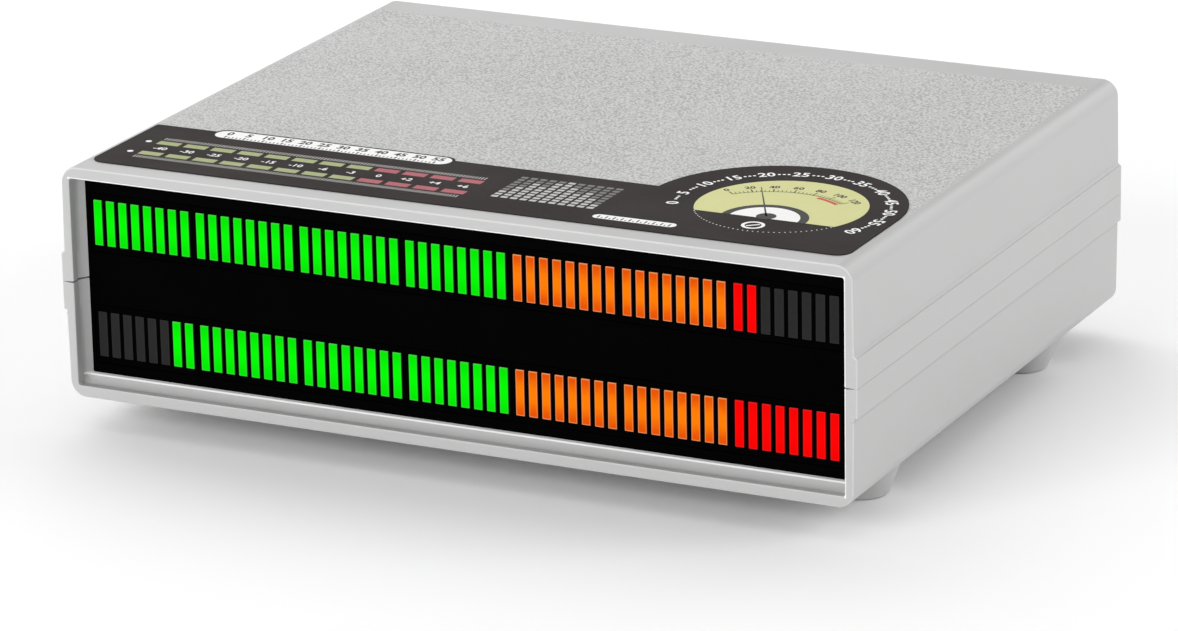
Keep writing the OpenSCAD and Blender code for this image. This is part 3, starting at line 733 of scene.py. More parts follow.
CASE_PLASTIC = CasePlastic("light grey case plastic")
REAR_PLASTIC = DarkMoulding("light grey rear plate", (0.55, 0.55, 0.547), (0.6, 0.6, 0.597), (0.48, 0.6), 0.3)
PANEL_BLACK = DarkMoulding("black display panel", (0.0007, 0.0007, 0.0007), (0.0014, 0.0014, 0.0014),
                           (0.5, 0.62), 0.006)
MODULE_BLACK = DarkMoulding("black light module", (0.0006, 0.0006, 0.0006), (0.0012, 0.0012, 0.0012),
                            (0.55, 0.7), 0.006)
BUTTON_BLACK = DarkMoulding("black control plastic", (0.014, 0.014, 0.015), (0.035, 0.035, 0.036))
CHIP_BLACK = DarkMoulding("black chip resin", (0.016, 0.016, 0.017), (0.04, 0.04, 0.04), (0.5, 0.7))
CONNECTOR_BLACK = DarkMoulding("black connector plastic", (0.012, 0.012, 0.013), (0.03, 0.03, 0.03))
SLEEVE_BLUE = DarkMoulding("blue capacitor sleeve", (0.02, 0.03, 0.11), (0.06, 0.07, 0.17), (0.25, 0.4))
INSERT_WHITE = DarkMoulding("white socket insert", (0.72, 0.72, 0.7), (0.8, 0.8, 0.78), (0.35, 0.5))
INSERT_RED = DarkMoulding("red socket insert", (0.5, 0.02, 0.018), (0.58, 0.06, 0.05), (0.35, 0.5))
FILM_CHARCOAL = PrintedFilm("charcoal printed film")
SCREW_STEEL = BrightMetal("zinc plated screw steel", (0.5, 0.5, 0.5), (0.3, 0.29, 0.27),
                          (900.0, 900.0, 4000.0))
PLATED_METAL = BrightMetal("nickel plated socket", (0.68, 0.66, 0.62), (0.45, 0.42, 0.36))
CAN_METAL = BrightMetal("rolled tin can", (0.62, 0.62, 0.61), (0.42, 0.42, 0.4), (5000.0, 400.0, 400.0))
BOARD_GREEN = BoardLaminate("green board laminate")
BOARD_BLACK = BoardLaminate("black board laminate", (0.008, 0.008, 0.009), (0.02, 0.02, 0.021))
RIBBON_GREY = RibbonJacket("grey ribbon cable")
INK_WHITE = PrintInk("white ink", (0.86, 0.86, 0.85), (0.7, 0.7, 0.69))
INK_BONE = PrintInk("pale grey ink", (0.5, 0.49, 0.47), (0.3, 0.29, 0.28))
INK_ASH = PrintInk("ash grey ink", (0.16, 0.155, 0.15), (0.1, 0.098, 0.095))
INK_BLACK = PrintInk("black ink", (0.014, 0.013, 0.013), (0.03, 0.028, 0.027))
INK_CREAM = PrintInk("cream ink", (0.6, 0.6, 0.27), (0.55, 0.55, 0.26))
INK_SAGE = PrintInk("sage green ink", (0.34, 0.385, 0.175), (0.27, 0.3, 0.14))
INK_ROSE = PrintInk("rose red ink", (0.385, 0.085, 0.105), (0.3, 0.075, 0.09))
INK_RED = PrintInk("red ink", (0.52, 0.06, 0.04), (0.45, 0.08, 0.05))
INK_SLATE = PrintInk("slate marking ink", (0.05, 0.05, 0.052), (0.1, 0.1, 0.1))


class Glow(Enum):
    """The colours of light bar, each with its finish and material slot."""

    GREEN = (LightBar("green light bar"), "led_green")
    ORANGE = (LightBar("orange light bar", (1.0, 0.21, 0.0), (0.8, 0.085, 0.0), (0.8, 0.34, 0.13)),
              "led_orange")
    RED = (LightBar("red light bar", (1.0, 0.0, 0.0), (0.9, 0.0, 0.0), (0.72, 0.015, 0.015)), "led_red")


# Mesh making


def plain_object(name: str, data: bpy.types.ID) -> Obj:
    """Put a new object into the scene.

    Args:
        name: Name of the object.
        data: The mesh, curve, camera or lamp that it shows.

    Returns:
        The object.
    """
    obj = bpy.data.objects.new(name, data)
    bpy.context.scene.collection.objects.link(obj)
    return obj


def from_bmesh(name: str, bm: bmesh.types.BMesh) -> Obj:
    """Make an object of a mesh in the making, which is freed.

    Args:
        name: Name of the object.
        bm: The mesh in the making.

    Returns:
        The object.
    """
    mesh = bpy.data.meshes.new(name)
    bm.to_mesh(mesh)
    bm.free()
    return plain_object(name, mesh)


def settle(obj: Obj) -> Obj:
    """Turn an object's modifiers into plain mesh and drop them.

    Args:
        obj: The object.

    Returns:
        The same object.
    """
    bpy.context.view_layer.update()
    seen = bpy.context.evaluated_depsgraph_get()
    old = obj.data
    made = bpy.data.meshes.new_from_object(obj.evaluated_get(seen), preserve_all_data_layers=True,
                                           depsgraph=seen)
    obj.modifiers.clear()
    obj.data = made
    made.name = obj.name
    bpy.data.meshes.remove(old)
    return obj


def smooth_edges(obj: Obj, limit_deg: float = 32.0) -> Obj:
    """Shade an object smooth up to an angle, with the large flat faces kept flat.

    Args:
        obj: The object.
        limit_deg: Edges sharper than this stay sharp.

    Returns:
        The same object.
    """
    mesh = obj.data
    mesh.polygons.foreach_set("use_smooth", [True] * len(mesh.polygons))
    mesh.set_sharp_from_angle(angle=math.radians(limit_deg))
    weighted = obj.modifiers.new("flat faces", "WEIGHTED_NORMAL")
    weighted.keep_sharp = True
    weighted.weight = 80
    return settle(obj)


def lathe(bm: bmesh.types.BMesh, profile: Sequence[Point], centre: Point, turns: int = 48) -> None:
    """Add a closed turned solid about an upright axis.

    Args:
        bm: The mesh to add to.
        profile: Radius and height of each point, from the bottom of the axis to its top.
        centre: Place of the axis, in x and y.
        turns: Count of steps round the axis.
    """
    angles = [2 * math.pi * k / turns for k in range(turns)]
    rings = []
    for radius, height in profile:
        spots = [polar(centre, radius, a) for a in angles] if radius else [centre]
        rings.append([bm.verts.new((*spot, height)) for spot in spots])
    for low, high in zip(rings, rings[1:]):
        for k in range(turns):
            n = (k + 1) % turns
            if len(low) == 1:
                bm.faces.new((low[0], high[n], high[k]))
            elif len(high) == 1:
                bm.faces.new((low[k], low[n], high[0]))
            else:
                bm.faces.new((low[k], low[n], high[n], high[k]))


def combined(obj: Obj, other: Obj, way: Join) -> None:
    """Join a second closed solid to an object or cut it out, and drop the second.

    Args:
        obj: The object that stays.
        other: The second solid.
        way: How the two come together.
    """
    step = obj.modifiers.new(way.name, "BOOLEAN")
    step.operation = way.value
    step.solver = "EXACT"
    step.object = other
    settle(obj)
    bpy.data.objects.remove(other)


def mended(obj: Obj, reach: float = 2e-6) -> Obj:
    """Merge the doubled points of a joined solid and close the hairlines between them.

    Args:
        obj: The solid.
        reach: Points nearer to each other than this are one.

    Returns:
        The same object.
    """
    bm = bmesh.new()
    bm.from_mesh(obj.data)
    bmesh.ops.remove_doubles(bm, verts=bm.verts, dist=reach)
    bmesh.ops.dissolve_degenerate(bm, dist=reach, edges=bm.edges)
    bmesh.ops.recalc_face_normals(bm, faces=bm.faces)
    bm.to_mesh(obj.data)
    bm.free()
    return obj


def softened(node: str, name: str, width: float, limit_deg: float = 35.0) -> Obj:
    """Copy a CAD node with its sharp edges rounded.

    Args:
        node: The CAD node.
        name: Name of the new piece.
        width: How far the rounding reaches from each edge, in millimetres.
        limit_deg: Edges sharper than this are rounded.

    Returns:
        The new object.
    """
    bm = bmesh.new()
    bm.from_mesh(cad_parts[node].data)
    bmesh.ops.remove_doubles(bm, verts=bm.verts, dist=1e-6)
    bmesh.ops.dissolve_limit(bm, angle_limit=math.radians(0.5), verts=bm.verts, edges=bm.edges)
    obj = from_bmesh(name, bm)
    carried = obj.data.attributes.get("custom_normal")
    if carried:
        obj.data.attributes.remove(carried)
    edge = obj.modifiers.new("soft edges", "BEVEL")
    edge.limit_method = "ANGLE"
    edge.angle_limit = math.radians(limit_deg)
    edge.width = width * MM
    edge.segments = 2
    return smooth_edges(settle(obj))


# Trees that repeat a shape


def open_tree(name: str, inputs: dict[str, str]) -> tuple[NodeSketch, Node, Node]:
    """Start a geometry tree.

    Args:
        name: Name of the tree.
        inputs: Names of the inputs, with the last word of their socket type.

    Returns:
        The sketch to add nodes with, the node that gives the inputs and the one that takes the mesh.
    """
    tree = bpy.data.node_groups.new(name, "GeometryNodeTree")
    tree.interface.new_socket("Mesh", in_out="OUTPUT", socket_type="NodeSocketGeometry")
    for label, kind in inputs.items():
        tree.interface.new_socket(label, in_out="INPUT", socket_type="NodeSocket" + kind)
    return NodeSketch(tree), tree.nodes.new("NodeGroupInput"), tree.nodes.new("NodeGroupOutput")


def close_tree(sketch: NodeSketch, gives: Node, shapes: Socket, finish: Socket) -> Tree:
    """End a geometry tree with real meshes that carry a material.

    Args:
        sketch: Adds the nodes.
        gives: The node that takes the mesh.
        shapes: The instances that the tree has made.
        finish: The material.

    Returns:
        The tree.
    """
    real = sketch.add("GeometryNodeRealizeInstances", None, Geometry=shapes).outputs[0]
    flat = sketch.add("GeometryNodeSetShadeSmooth", None, Geometry=real, Shade_Smooth=False).outputs[0]
    dressed = sketch.add("GeometryNodeSetMaterial", None, Geometry=flat, Material=finish)
    sketch.feed(gives.inputs[0], dressed.outputs[0])
    return sketch.tree


def light_bar_tree() -> Tree:
    """Build the tree that makes the light bars of one module.

    Returns:
        The tree. Its bars carry lit, along and across attributes.
    """
    sketch, given, gives = open_tree("light bar row", {
        "Count": "Int", "Pitch": "Float", "Width": "Float", "Height": "Float", "Depth": "Float",
        "Corner": "Float", "Chamfer": "Float", "Start": "Vector", "First lit": "Int", "Last lit": "Int",
        "Finish": "Material"})
    take = given.outputs
    outline = sketch.add("GeometryNodeCurvePrimitiveQuadrilateral", None, Width=take["Width"],
                         Height=take["Height"]).outputs[0]
    rounded = sketch.add("GeometryNodeFilletCurve", {"mode": "POLY"}, Curve=outline, Count=3,
                         Radius=take["Corner"]).outputs[0]
    face = sketch.add("GeometryNodeFillCurve", {"mode": "NGONS"}, Curve=rounded).outputs[0]
    wall = sketch.math("SUBTRACT", take["Depth"], take["Chamfer"])
    stem = sketch.add("GeometryNodeExtrudeMesh", None, Mesh=face, Offset_Scale=wall, Individual=False).outputs
    lens = sketch.add("GeometryNodeExtrudeMesh", None, Mesh=stem["Mesh"], Selection=stem["Top"],
                      Offset_Scale=take["Chamfer"], Individual=False).outputs
    x, y, _ = sketch.axes(sketch.add("GeometryNodeInputPosition").outputs[0])
    pull = sketch.times(take["Chamfer"], -1.0)
    inward = sketch.add("ShaderNodeCombineXYZ", None, X=sketch.times(sketch.math("SIGN", x), pull),
                        Y=sketch.times(sketch.math("SIGN", y), pull)).outputs[0]
    lens = sketch.add("GeometryNodeSetPosition", None, Geometry=lens["Mesh"], Selection=lens["Top"],
                      Offset=inward)
    back = sketch.add("GeometryNodeFlipFaces", None, Mesh=face)
    both = sketch.add("GeometryNodeJoinGeometry")
    for half in (lens, back):
        sketch.feed(both.inputs[0], half.outputs[0])
    closed = sketch.add("GeometryNodeMergeByDistance", None, Geometry=both.outputs[0], Distance=1e-6)
    bar = sketch.add("GeometryNodeTransform", None, Geometry=closed.outputs[0],
                     Rotation=(math.pi / 2, 0.0, 0.0)).outputs[0]
    x, _, z = sketch.axes(sketch.add("GeometryNodeInputPosition").outputs[0])
    for name, axis, size in (("along", z, take["Height"]), ("across", x, take["Width"])):
        share = sketch.math("DIVIDE", axis, sketch.times(size, 0.5))
        bar = sketch.add("GeometryNodeStoreNamedAttribute", {"data_type": "FLOAT", "domain": "POINT"},
                         Geometry=bar, Name=name, Value=share).outputs[0]
    offset = sketch.add("ShaderNodeCombineXYZ", None, X=take["Pitch"]).outputs[0]
    line = sketch.add("GeometryNodeMeshLine", None, Count=take["Count"], Start_Location=take["Start"],
                      Offset=offset).outputs[0]
    bars = sketch.add("GeometryNodeInstanceOnPoints", None, Points=line, Instance=bar).outputs[0]
    index = sketch.add("GeometryNodeInputIndex").outputs[0]
    dark = sketch.math("MAXIMUM", sketch.math("LESS_THAN", index, take["First lit"]),
                       sketch.math("GREATER_THAN", index, take["Last lit"]))
    bars = sketch.add("GeometryNodeStoreNamedAttribute", {"data_type": "FLOAT", "domain": "INSTANCE"},
                      Geometry=bars, Name="lit", Value=sketch.math("SUBTRACT", 1.0, dark)).outputs[0]
    return close_tree(sketch, gives, bars, take["Finish"])


def mark_row_tree() -> Tree:
    """Build the tree that makes a straight row of printed dashes.

    Returns:
        The tree.
    """
    sketch, given, gives = open_tree("mark row", {
        "Count": "Int", "Offset": "Vector", "Start": "Vector", "Size": "Vector", "Finish": "Material"})
    take = given.outputs
    dash = sketch.add("GeometryNodeMeshCube", None, Size=take["Size"]).outputs[0]
    line = sketch.add("GeometryNodeMeshLine", None, Count=take["Count"], Start_Location=take["Start"],
                      Offset=take["Offset"]).outputs[0]
    row = sketch.add("GeometryNodeInstanceOnPoints", None, Points=line, Instance=dash).outputs[0]
    return close_tree(sketch, gives, row, take["Finish"])


def mark_arc_tree() -> Tree:
    """Build the tree that makes printed ticks or dots along an arc, each turned to its centre.

    Returns:
        The tree.
    """
    sketch, given, gives = open_tree("mark arc", {
        "Count": "Int", "Radius": "Float", "From": "Float", "To": "Float", "Centre": "Vector",
        "Size": "Vector", "Round": "Bool", "Finish": "Material"})
    take = given.outputs
    _, width, thick = sketch.axes(take["Size"])
    tick = sketch.add("GeometryNodeMeshCube", None, Size=take["Size"]).outputs[0]
    dot = sketch.add("GeometryNodeMeshCylinder", None, Vertices=14, Depth=thick,
                     Radius=sketch.times(width, 0.5)).outputs[0]
    mark = sketch.add("GeometryNodeSwitch", {"input_type": "GEOMETRY"}, Switch=take["Round"],
                      **{"False": tick, "True": dot}).outputs[0]
    index = sketch.add("GeometryNodeInputIndex").outputs[0]
    share = sketch.math("DIVIDE", index, sketch.math("SUBTRACT", take["Count"], 1.0))
    sweep = sketch.math("SUBTRACT", take["To"], take["From"])
    angle = sketch.math("ADD", take["From"], sketch.times(share, sweep))
    spoke = sketch.add("ShaderNodeCombineXYZ", None,
                       X=sketch.times(sketch.math("COSINE", angle), take["Radius"]),
                       Y=sketch.times(sketch.math("SINE", angle), take["Radius"])).outputs[0]
    line = sketch.add("GeometryNodeMeshLine", None, Count=take["Count"]).outputs[0]
    points = sketch.add("GeometryNodeSetPosition", None, Geometry=line,
                        Position=sketch.vector("ADD", spoke, take["Centre"])).outputs[0]
    turn = sketch.add("ShaderNodeCombineXYZ", None, Z=angle).outputs[0]
    arc = sketch.add("GeometryNodeInstanceOnPoints", None, Points=points, Instance=mark, Rotation=turn)
    return close_tree(sketch, gives, arc.outputs[0], take["Finish"])


class Repeater:
    """Grows pieces from a geometry tree and turns them into plain meshes."""

    def __init__(self, build: Callable[[], Tree]) -> None:
        """Build the tree and learn the identifiers of its inputs.

        Args:
            build: Builds the tree.
        """
        self.tree = build()
        self.sockets = {item.name: item.identifier for item in self.tree.interface.items_tree
                        if item.item_type == "SOCKET" and item.in_out == "INPUT"}

    def grow(self, name: str, finish: Finish, **values: Any) -> Obj:
        """Make one plain mesh object.

        Args:
            name: Name of the object.
            finish: Finish that the tree sets.
            **values: Inputs of the tree, with underscores for spaces.

        Returns:
            The object, with no modifier left on it and one material slot.
        """
        obj = plain_object(name, bpy.data.meshes.new(name))
        grown = obj.modifiers.new(self.tree.name, "NODES")
        grown.node_group = self.tree
        for label, value in values.items():
            grown[self.sockets[label.replace("_", " ")]] = value
        grown[self.sockets["Finish"]] = finish.material()
        return finish.on(settle(obj))


# Case


@dataclass
class CaseShell:
    """One half of the case: a wall swept round the seam, with frames, bosses and, below, feet.

    Outlines run in x and in height over the seam, profiles of turned solids in radius and height.
    """

    node: str
    name: str
    lower: bool
    seam: float = 36.0
    half_w: float = 100.0
    half_h: float = 28.0
    half_d: float = 80.0
    edge_r: float = 4.0
    draft: float = 0.3
    band_half: float = 7.0
    band_out: float = 0.7
    band_r: float = 0.3
    band_slope: float = 0.5
    band_steps: int = 4
    groove: float = 0.06
    rim_r: float = 0.55
    rim_steps: int = 5
    lip_r: float = 0.35
    lip_steps: int = 3
    lip_end: float = 78.0
    rib_r: float = 0.15
    relief: float = 0.03
    crack: Point = (0.22, 0.8)
    crack_step: float = 0.1
    wall: Point = (98.0, 25.8)
    wall_corner: float = 1.0
    lip: Point = (97.6, 25.2)
    lip_corner: float = 0.6
    rib: Point = (96.3, 23.1)
    rib_corner: float = 0.4
    rib_soft_corner: float = 0.5
    outer_rib_top: float = 24.1
    guide: Point = (77.3, 75.0)
    outer_rib: Point = (76.5, 75.0)
    panel_rib: Point = (72.8, 71.3)
    front_ribs: tuple[Point, ...] = ((-63.7, -65.2), (-67.0, -68.5))
    corner_steps: int = 10
    inner_heights: tuple[float, ...] = (5.6, 5.8, 6.0, 6.2, 6.4, 6.8)
    side_heights: Point = (12.0, 18.0)
    deck_xs: Triple = (70.0, 35.0, 0.0)
    foot_at: Point = (88.0, 48.0)
    post_x: float = 75.5
    post_ys: Point = (-17.5, 67.5)
    foot: tuple[Point, ...] = ((0, 0), (5.2, 0), (5.75, 0.12), (6.1, 0.5), (6.3, 1.0), (8.95, 7.85),
                               (9.15, 8.1), (9.15, 9.1), (5, 9.1), (5, 36), (0, 36))
    recess: tuple[Point, ...] = ((0, -1), (4.1, -1), (4.1, 0), (3.75, 0.12), (3.6, 0.5), (3.6, 10.2),
                                 (1.75, 10.2), (1.75, 37), (0, 37))
    post: tuple[Point, ...] = ((0, 9.1), (3.5, 9.1), (3.5, 18.2), (0, 18.2))
    post_hole: tuple[Point, ...] = ((0, 10.2), (1.5, 10.2), (1.5, 19), (0, 19))
    boss: tuple[Point, ...] = ((0, 36), (5, 36), (5, 62.9), (0, 62.9))
    boss_hole: tuple[Point, ...] = ((0, 35), (1.5, 35), (1.5, 49), (0, 49))

    def side(self, height: float) -> float:
        """Return how much the side leans in at a height over the seam."""
        return self.draft * min(height / (self.half_h - self.edge_r), 1.0)

    def quarter(self, steps: int) -> list[float]:
        """Return the angles of a quarter turn, in radians."""
        return [math.radians(90 * k / steps) for k in range(steps + 1)]

    def outer_half(self, inset: float) -> list[Point]:
        """Draw the outer outline.

        Args:
            inset: How far it is drawn in.

        Returns:
            Its points from the seam to the middle of the deck.
        """
        band_x = self.half_w + self.band_out - inset
        band_z = self.band_half - inset
        points = [(band_x - self.relief, 0.0), (band_x, self.relief)]
        if self.lower:
            deep = band_x - self.groove
            ledge = self.relief + self.groove
            points = [(deep - self.relief, 0.0), (deep, self.relief), (deep, ledge), (band_x, ledge)]
        middle = (band_x - self.band_r, band_z - self.band_r)
        points += [polar(middle, self.band_r, a) for a in self.quarter(self.band_steps)]
        foot = band_z if self.lower else band_z + self.band_slope
        points += [(self.half_w - self.side(height) - inset, height) for height in (foot, *self.side_heights)]
        middle = (self.half_w - self.draft - self.edge_r, self.half_h - self.edge_r)
        points += [polar(middle, self.edge_r - inset, a) for a in self.quarter(self.corner_steps)]
        return points + [(x, self.half_h - inset) for x in self.deck_xs]

    def inner_half(self, half: Point, corner: float, lean: bool = False) -> list[Point]:
        """Draw an inner outline.

        Args:
            half: Half width and half height of the opening.
            corner: Radius of its corners.
            lean: True where it follows the lean of the sides.

        Returns:
            Its points from the seam to the middle of the deck, as many as the outer outline has.
        """
        w, h = half
        half_open, deep = self.crack
        heights = [0.0, half_open]
        if self.lower:
            heights += [half_open + self.crack_step, half_open + 2 * self.crack_step]
        heights += [*self.inner_heights, *self.side_heights]
        tilt = self.draft / (h - corner) if lean else 0.0
        points = [(w - tilt * height, height) for height in heights]
        points[0] = (points[0][0] + deep, 0.0)
        middle = (w - tilt * (h - corner) - corner, h - corner)
        points += [polar(middle, corner, a) for a in self.quarter(self.corner_steps)]
        return points + [(x, h) for x in self.deck_xs]

    def stations(self) -> list[Ring]:
        """Lay out the rings of the wall.

        Returns:
            Depth, relief in depth at the seam, and half outline of each ring, round the wall once.
        """
        rings: list[Ring] = []
        arc = self.quarter(self.rim_steps)
        for sign, angles in ((-1, arc), (1, arc[::-1])):
            for a in angles:
                rings.append((sign * (self.half_d - self.rim_r * (1 - math.cos(a))), 0.0,
                              self.outer_half(self.rim_r * (1 - math.sin(a)))))
        rings += self.end_rings(1)
        for y0, y1 in self.front_ribs:
            rings += self.rib_rings(y0, y1)
        return rings + self.end_rings(-1)[::-1]

    def rib_rings(self, y0: float, y1: float) -> list[Ring]:
        """Lay out one inner rib.

        Args:
            y0: Depth at which it starts.
            y1: Depth at which it ends.

        Returns:
            Its rings from the wall, over the rib, to the wall.
        """
        step = math.copysign(self.rib_r, y1 - y0)
        wall = self.inner_half(self.wall, self.wall_corner, True)
        rib = self.inner_half(self.rib, self.rib_corner)
        soft = self.inner_half((self.rib[0] + self.rib_r, self.rib[1] + self.rib_r), self.rib_soft_corner)
        return [(y, 0.0, outline) for y, outline in (
            (y0, wall), (y0, soft), (y0 + step, rib), (y1 - step, rib), (y1, soft), (y1, wall))]

    def end_rings(self, sign: int) -> list[Ring]:
        """Lay out the lip and ribs at one end.

        Args:
            sign: 1 for the rear end, -1 for the front.

        Returns:
            Their rings from the outside inwards.
        """
        wall = self.inner_half(self.wall, self.wall_corner, True)
        rings = []
        for k, a in enumerate(self.quarter(self.lip_steps)):
            grow = self.lip_r * (1 - math.sin(a))
            shift = 0.0 if k else -sign * self.crack[1]
            rings.append((sign * (self.half_d - self.lip_r * (1 - math.cos(a))), shift,
                          self.inner_half((self.lip[0] + grow, self.lip[1] + grow), self.lip_corner + grow)))
        rings += [(sign * self.lip_end, 0.0, self.inner_half(self.lip, self.lip_corner)),
                  (sign * self.lip_end, 0.0, wall)]
        rings += self.guide_rings(sign)
        return rings + self.rib_rings(*(sign * y for y in self.panel_rib))

    def guide_rings(self, sign: int) -> list[Ring]:
        """Lay out the tapered side guides and the rib before a panel.

        Args:
            sign: 1 for the rear end, -1 for the front.

        Returns:
            Their rings from the outside inwards.
        """
        start, end = self.guide
        rib_start, rib_end = self.outer_rib
        wall_w, wall_h = self.wall
        high = self.rib[1] if self.lower else self.outer_rib_top
        soft_high = high + self.rib_r
        foot = wall_h - high - self.rib_r + self.rib_soft_corner
        wall = self.inner_half(self.wall, self.wall_corner, True)
        rings = [(sign * start, 0.0, wall)]
        for y, h, corner in ((rib_start, wall_h, foot), (rib_start, soft_high, self.rib_soft_corner),
                             (rib_start - self.rib_r, high, self.rib_corner),
                             (rib_end + self.rib_r, high, self.rib_corner),
                             (rib_end, soft_high, self.rib_soft_corner)):
            w = wall_w - (wall_w - self.rib[0]) * (start - y) / (start - end)
            rings.append((sign * y, 0.0, self.inner_half((w, h), corner)))
        return rings + [(sign * rib_end, 0.0, wall)]

    def sweep(self) -> Obj:
        """Sweep the wall round its rings.

        Returns:
            The closed wall, as an object of its own.
        """
        bm = bmesh.new()
        flip = -1.0 if self.lower else 1.0
        loops = []
        for y, shift, half in self.stations():
            whole = half + [(-x, h) for x, h in reversed(half[:-1])]
            loop = []
            for k, (x, h) in enumerate(whole):
                depth = CASE_MIDDLE_Y + y + (shift if k in (0, len(whole) - 1) else 0.0)
                loop.append(bm.verts.new((x * MM, depth * MM, (self.seam + flip * h) * MM)))
            loops.append(loop)
        for loop, after in zip(loops, loops[1:] + loops[:1]):
            for k in range(len(loop) - 1):
                bm.faces.new((loop[k], loop[k + 1], after[k + 1], after[k]))
        bm.faces.new([loop[0] for loop in loops])
        bm.faces.new([loop[-1] for loop in reversed(loops)])
        bmesh.ops.remove_doubles(bm, verts=bm.verts, dist=1e-7)
        bmesh.ops.recalc_face_normals(bm, faces=bm.faces)
        return from_bmesh(self.name, bm)

    def turned(self, profile: Sequence[Point], spots: Iterable[Point]) -> Obj:
        """Make one turned solid at each spot.

        Args:
            profile: Radius and height of each point.
            spots: Places from the middle of the case.

        Returns:
            One object with all of them.
        """
        bm = bmesh.new()
        scaled = [(r * MM, z * MM) for r, z in profile]
        for x, y in spots:
            lathe(bm, scaled, (x * MM, (CASE_MIDDLE_Y + y) * MM))
        bmesh.ops.recalc_face_normals(bm, faces=bm.faces)
        return from_bmesh("turned", bm)

    def build(self) -> Obj:
        """Build the shell, dress it and hand it to the frame.

        Returns:
            The shell.
        """
        shell = self.sweep()
        x, y = self.foot_at
        corners = [(sx * x, sy * y) for sx in (-1, 1) for sy in (-1, 1)]
        posts = [(sx * self.post_x, y) for sx in (-1, 1) for y in self.post_ys]
        steps = [(self.boss, corners, Join.UNION), (self.boss_hole, corners, Join.CUT)]
        if self.lower:
            steps = [(self.foot, corners, Join.UNION), (self.post, posts, Join.UNION),
                     (self.recess, corners, Join.CUT), (self.post_hole, posts, Join.CUT)]
        for profile, spots, way in steps:
            combined(shell, self.turned(profile, spots), way)
        CASE_PLASTIC.on(smooth_edges(mended(shell)))
        return place(shell, Body.CASE, "case_plastic", (self.node,))


# Lit front


@dataclass
class LightRow:
    """One row of light modules, with the share of it that is lit."""

    name: str
    middle_z: float
    first_lit: int
    last_lit: int
    modules: int = 7
    bars: int = 8
    orange_modules: int = 2
    module_pitch: float = 27.2
    bar_pitch: float = 3.3
    bar_w: float = 2.25
    bar_h: float = 10.9
    bar_d: float = 3.0
    corner: float = 0.15
    chamfer: float = 0.06
    face_y: float = CASE_MIDDLE_Y - 75.0

    def glow(self, module: int) -> Glow:
        """Choose the colour of a module: red last, orange before it, the rest green.

        Args:
            module: Its number from the left, from 1.

        Returns:
            The colour.
        """
        if module == self.modules:
            return Glow.RED
        return Glow.ORANGE if module >= self.modules - self.orange_modules else Glow.GREEN

    def build(self, repeater: Repeater) -> None:
        """Grow the bars of every module, too dim beside the room's light to tint what is near.

        Args:
            repeater: Grows the bars of one module.
        """
        for module in range(1, self.modules + 1):
            finish, slot = self.glow(module).value
            middle = (module - (self.modules + 1) / 2) * self.module_pitch
            start_x = middle - (self.bars - 1) / 2 * self.bar_pitch
            before = (module - 1) * self.bars
            bars = repeater.grow(
                f"lit_bars_{self.name}_{module}", finish, Count=self.bars, Pitch=self.bar_pitch * MM,
                Width=self.bar_w * MM, Height=self.bar_h * MM, Depth=self.bar_d * MM, Corner=self.corner * MM,
                Chamfer=self.chamfer * MM, First_lit=self.first_lit - before, Last_lit=self.last_lit - before,
                Start=Vector((start_x, self.face_y + self.bar_d, self.middle_z)) * MM)
            bars.visible_diffuse = False
            place(bars, Body.CASE, slot, (f"led_bars_{self.name}_{module}",))


# Printing


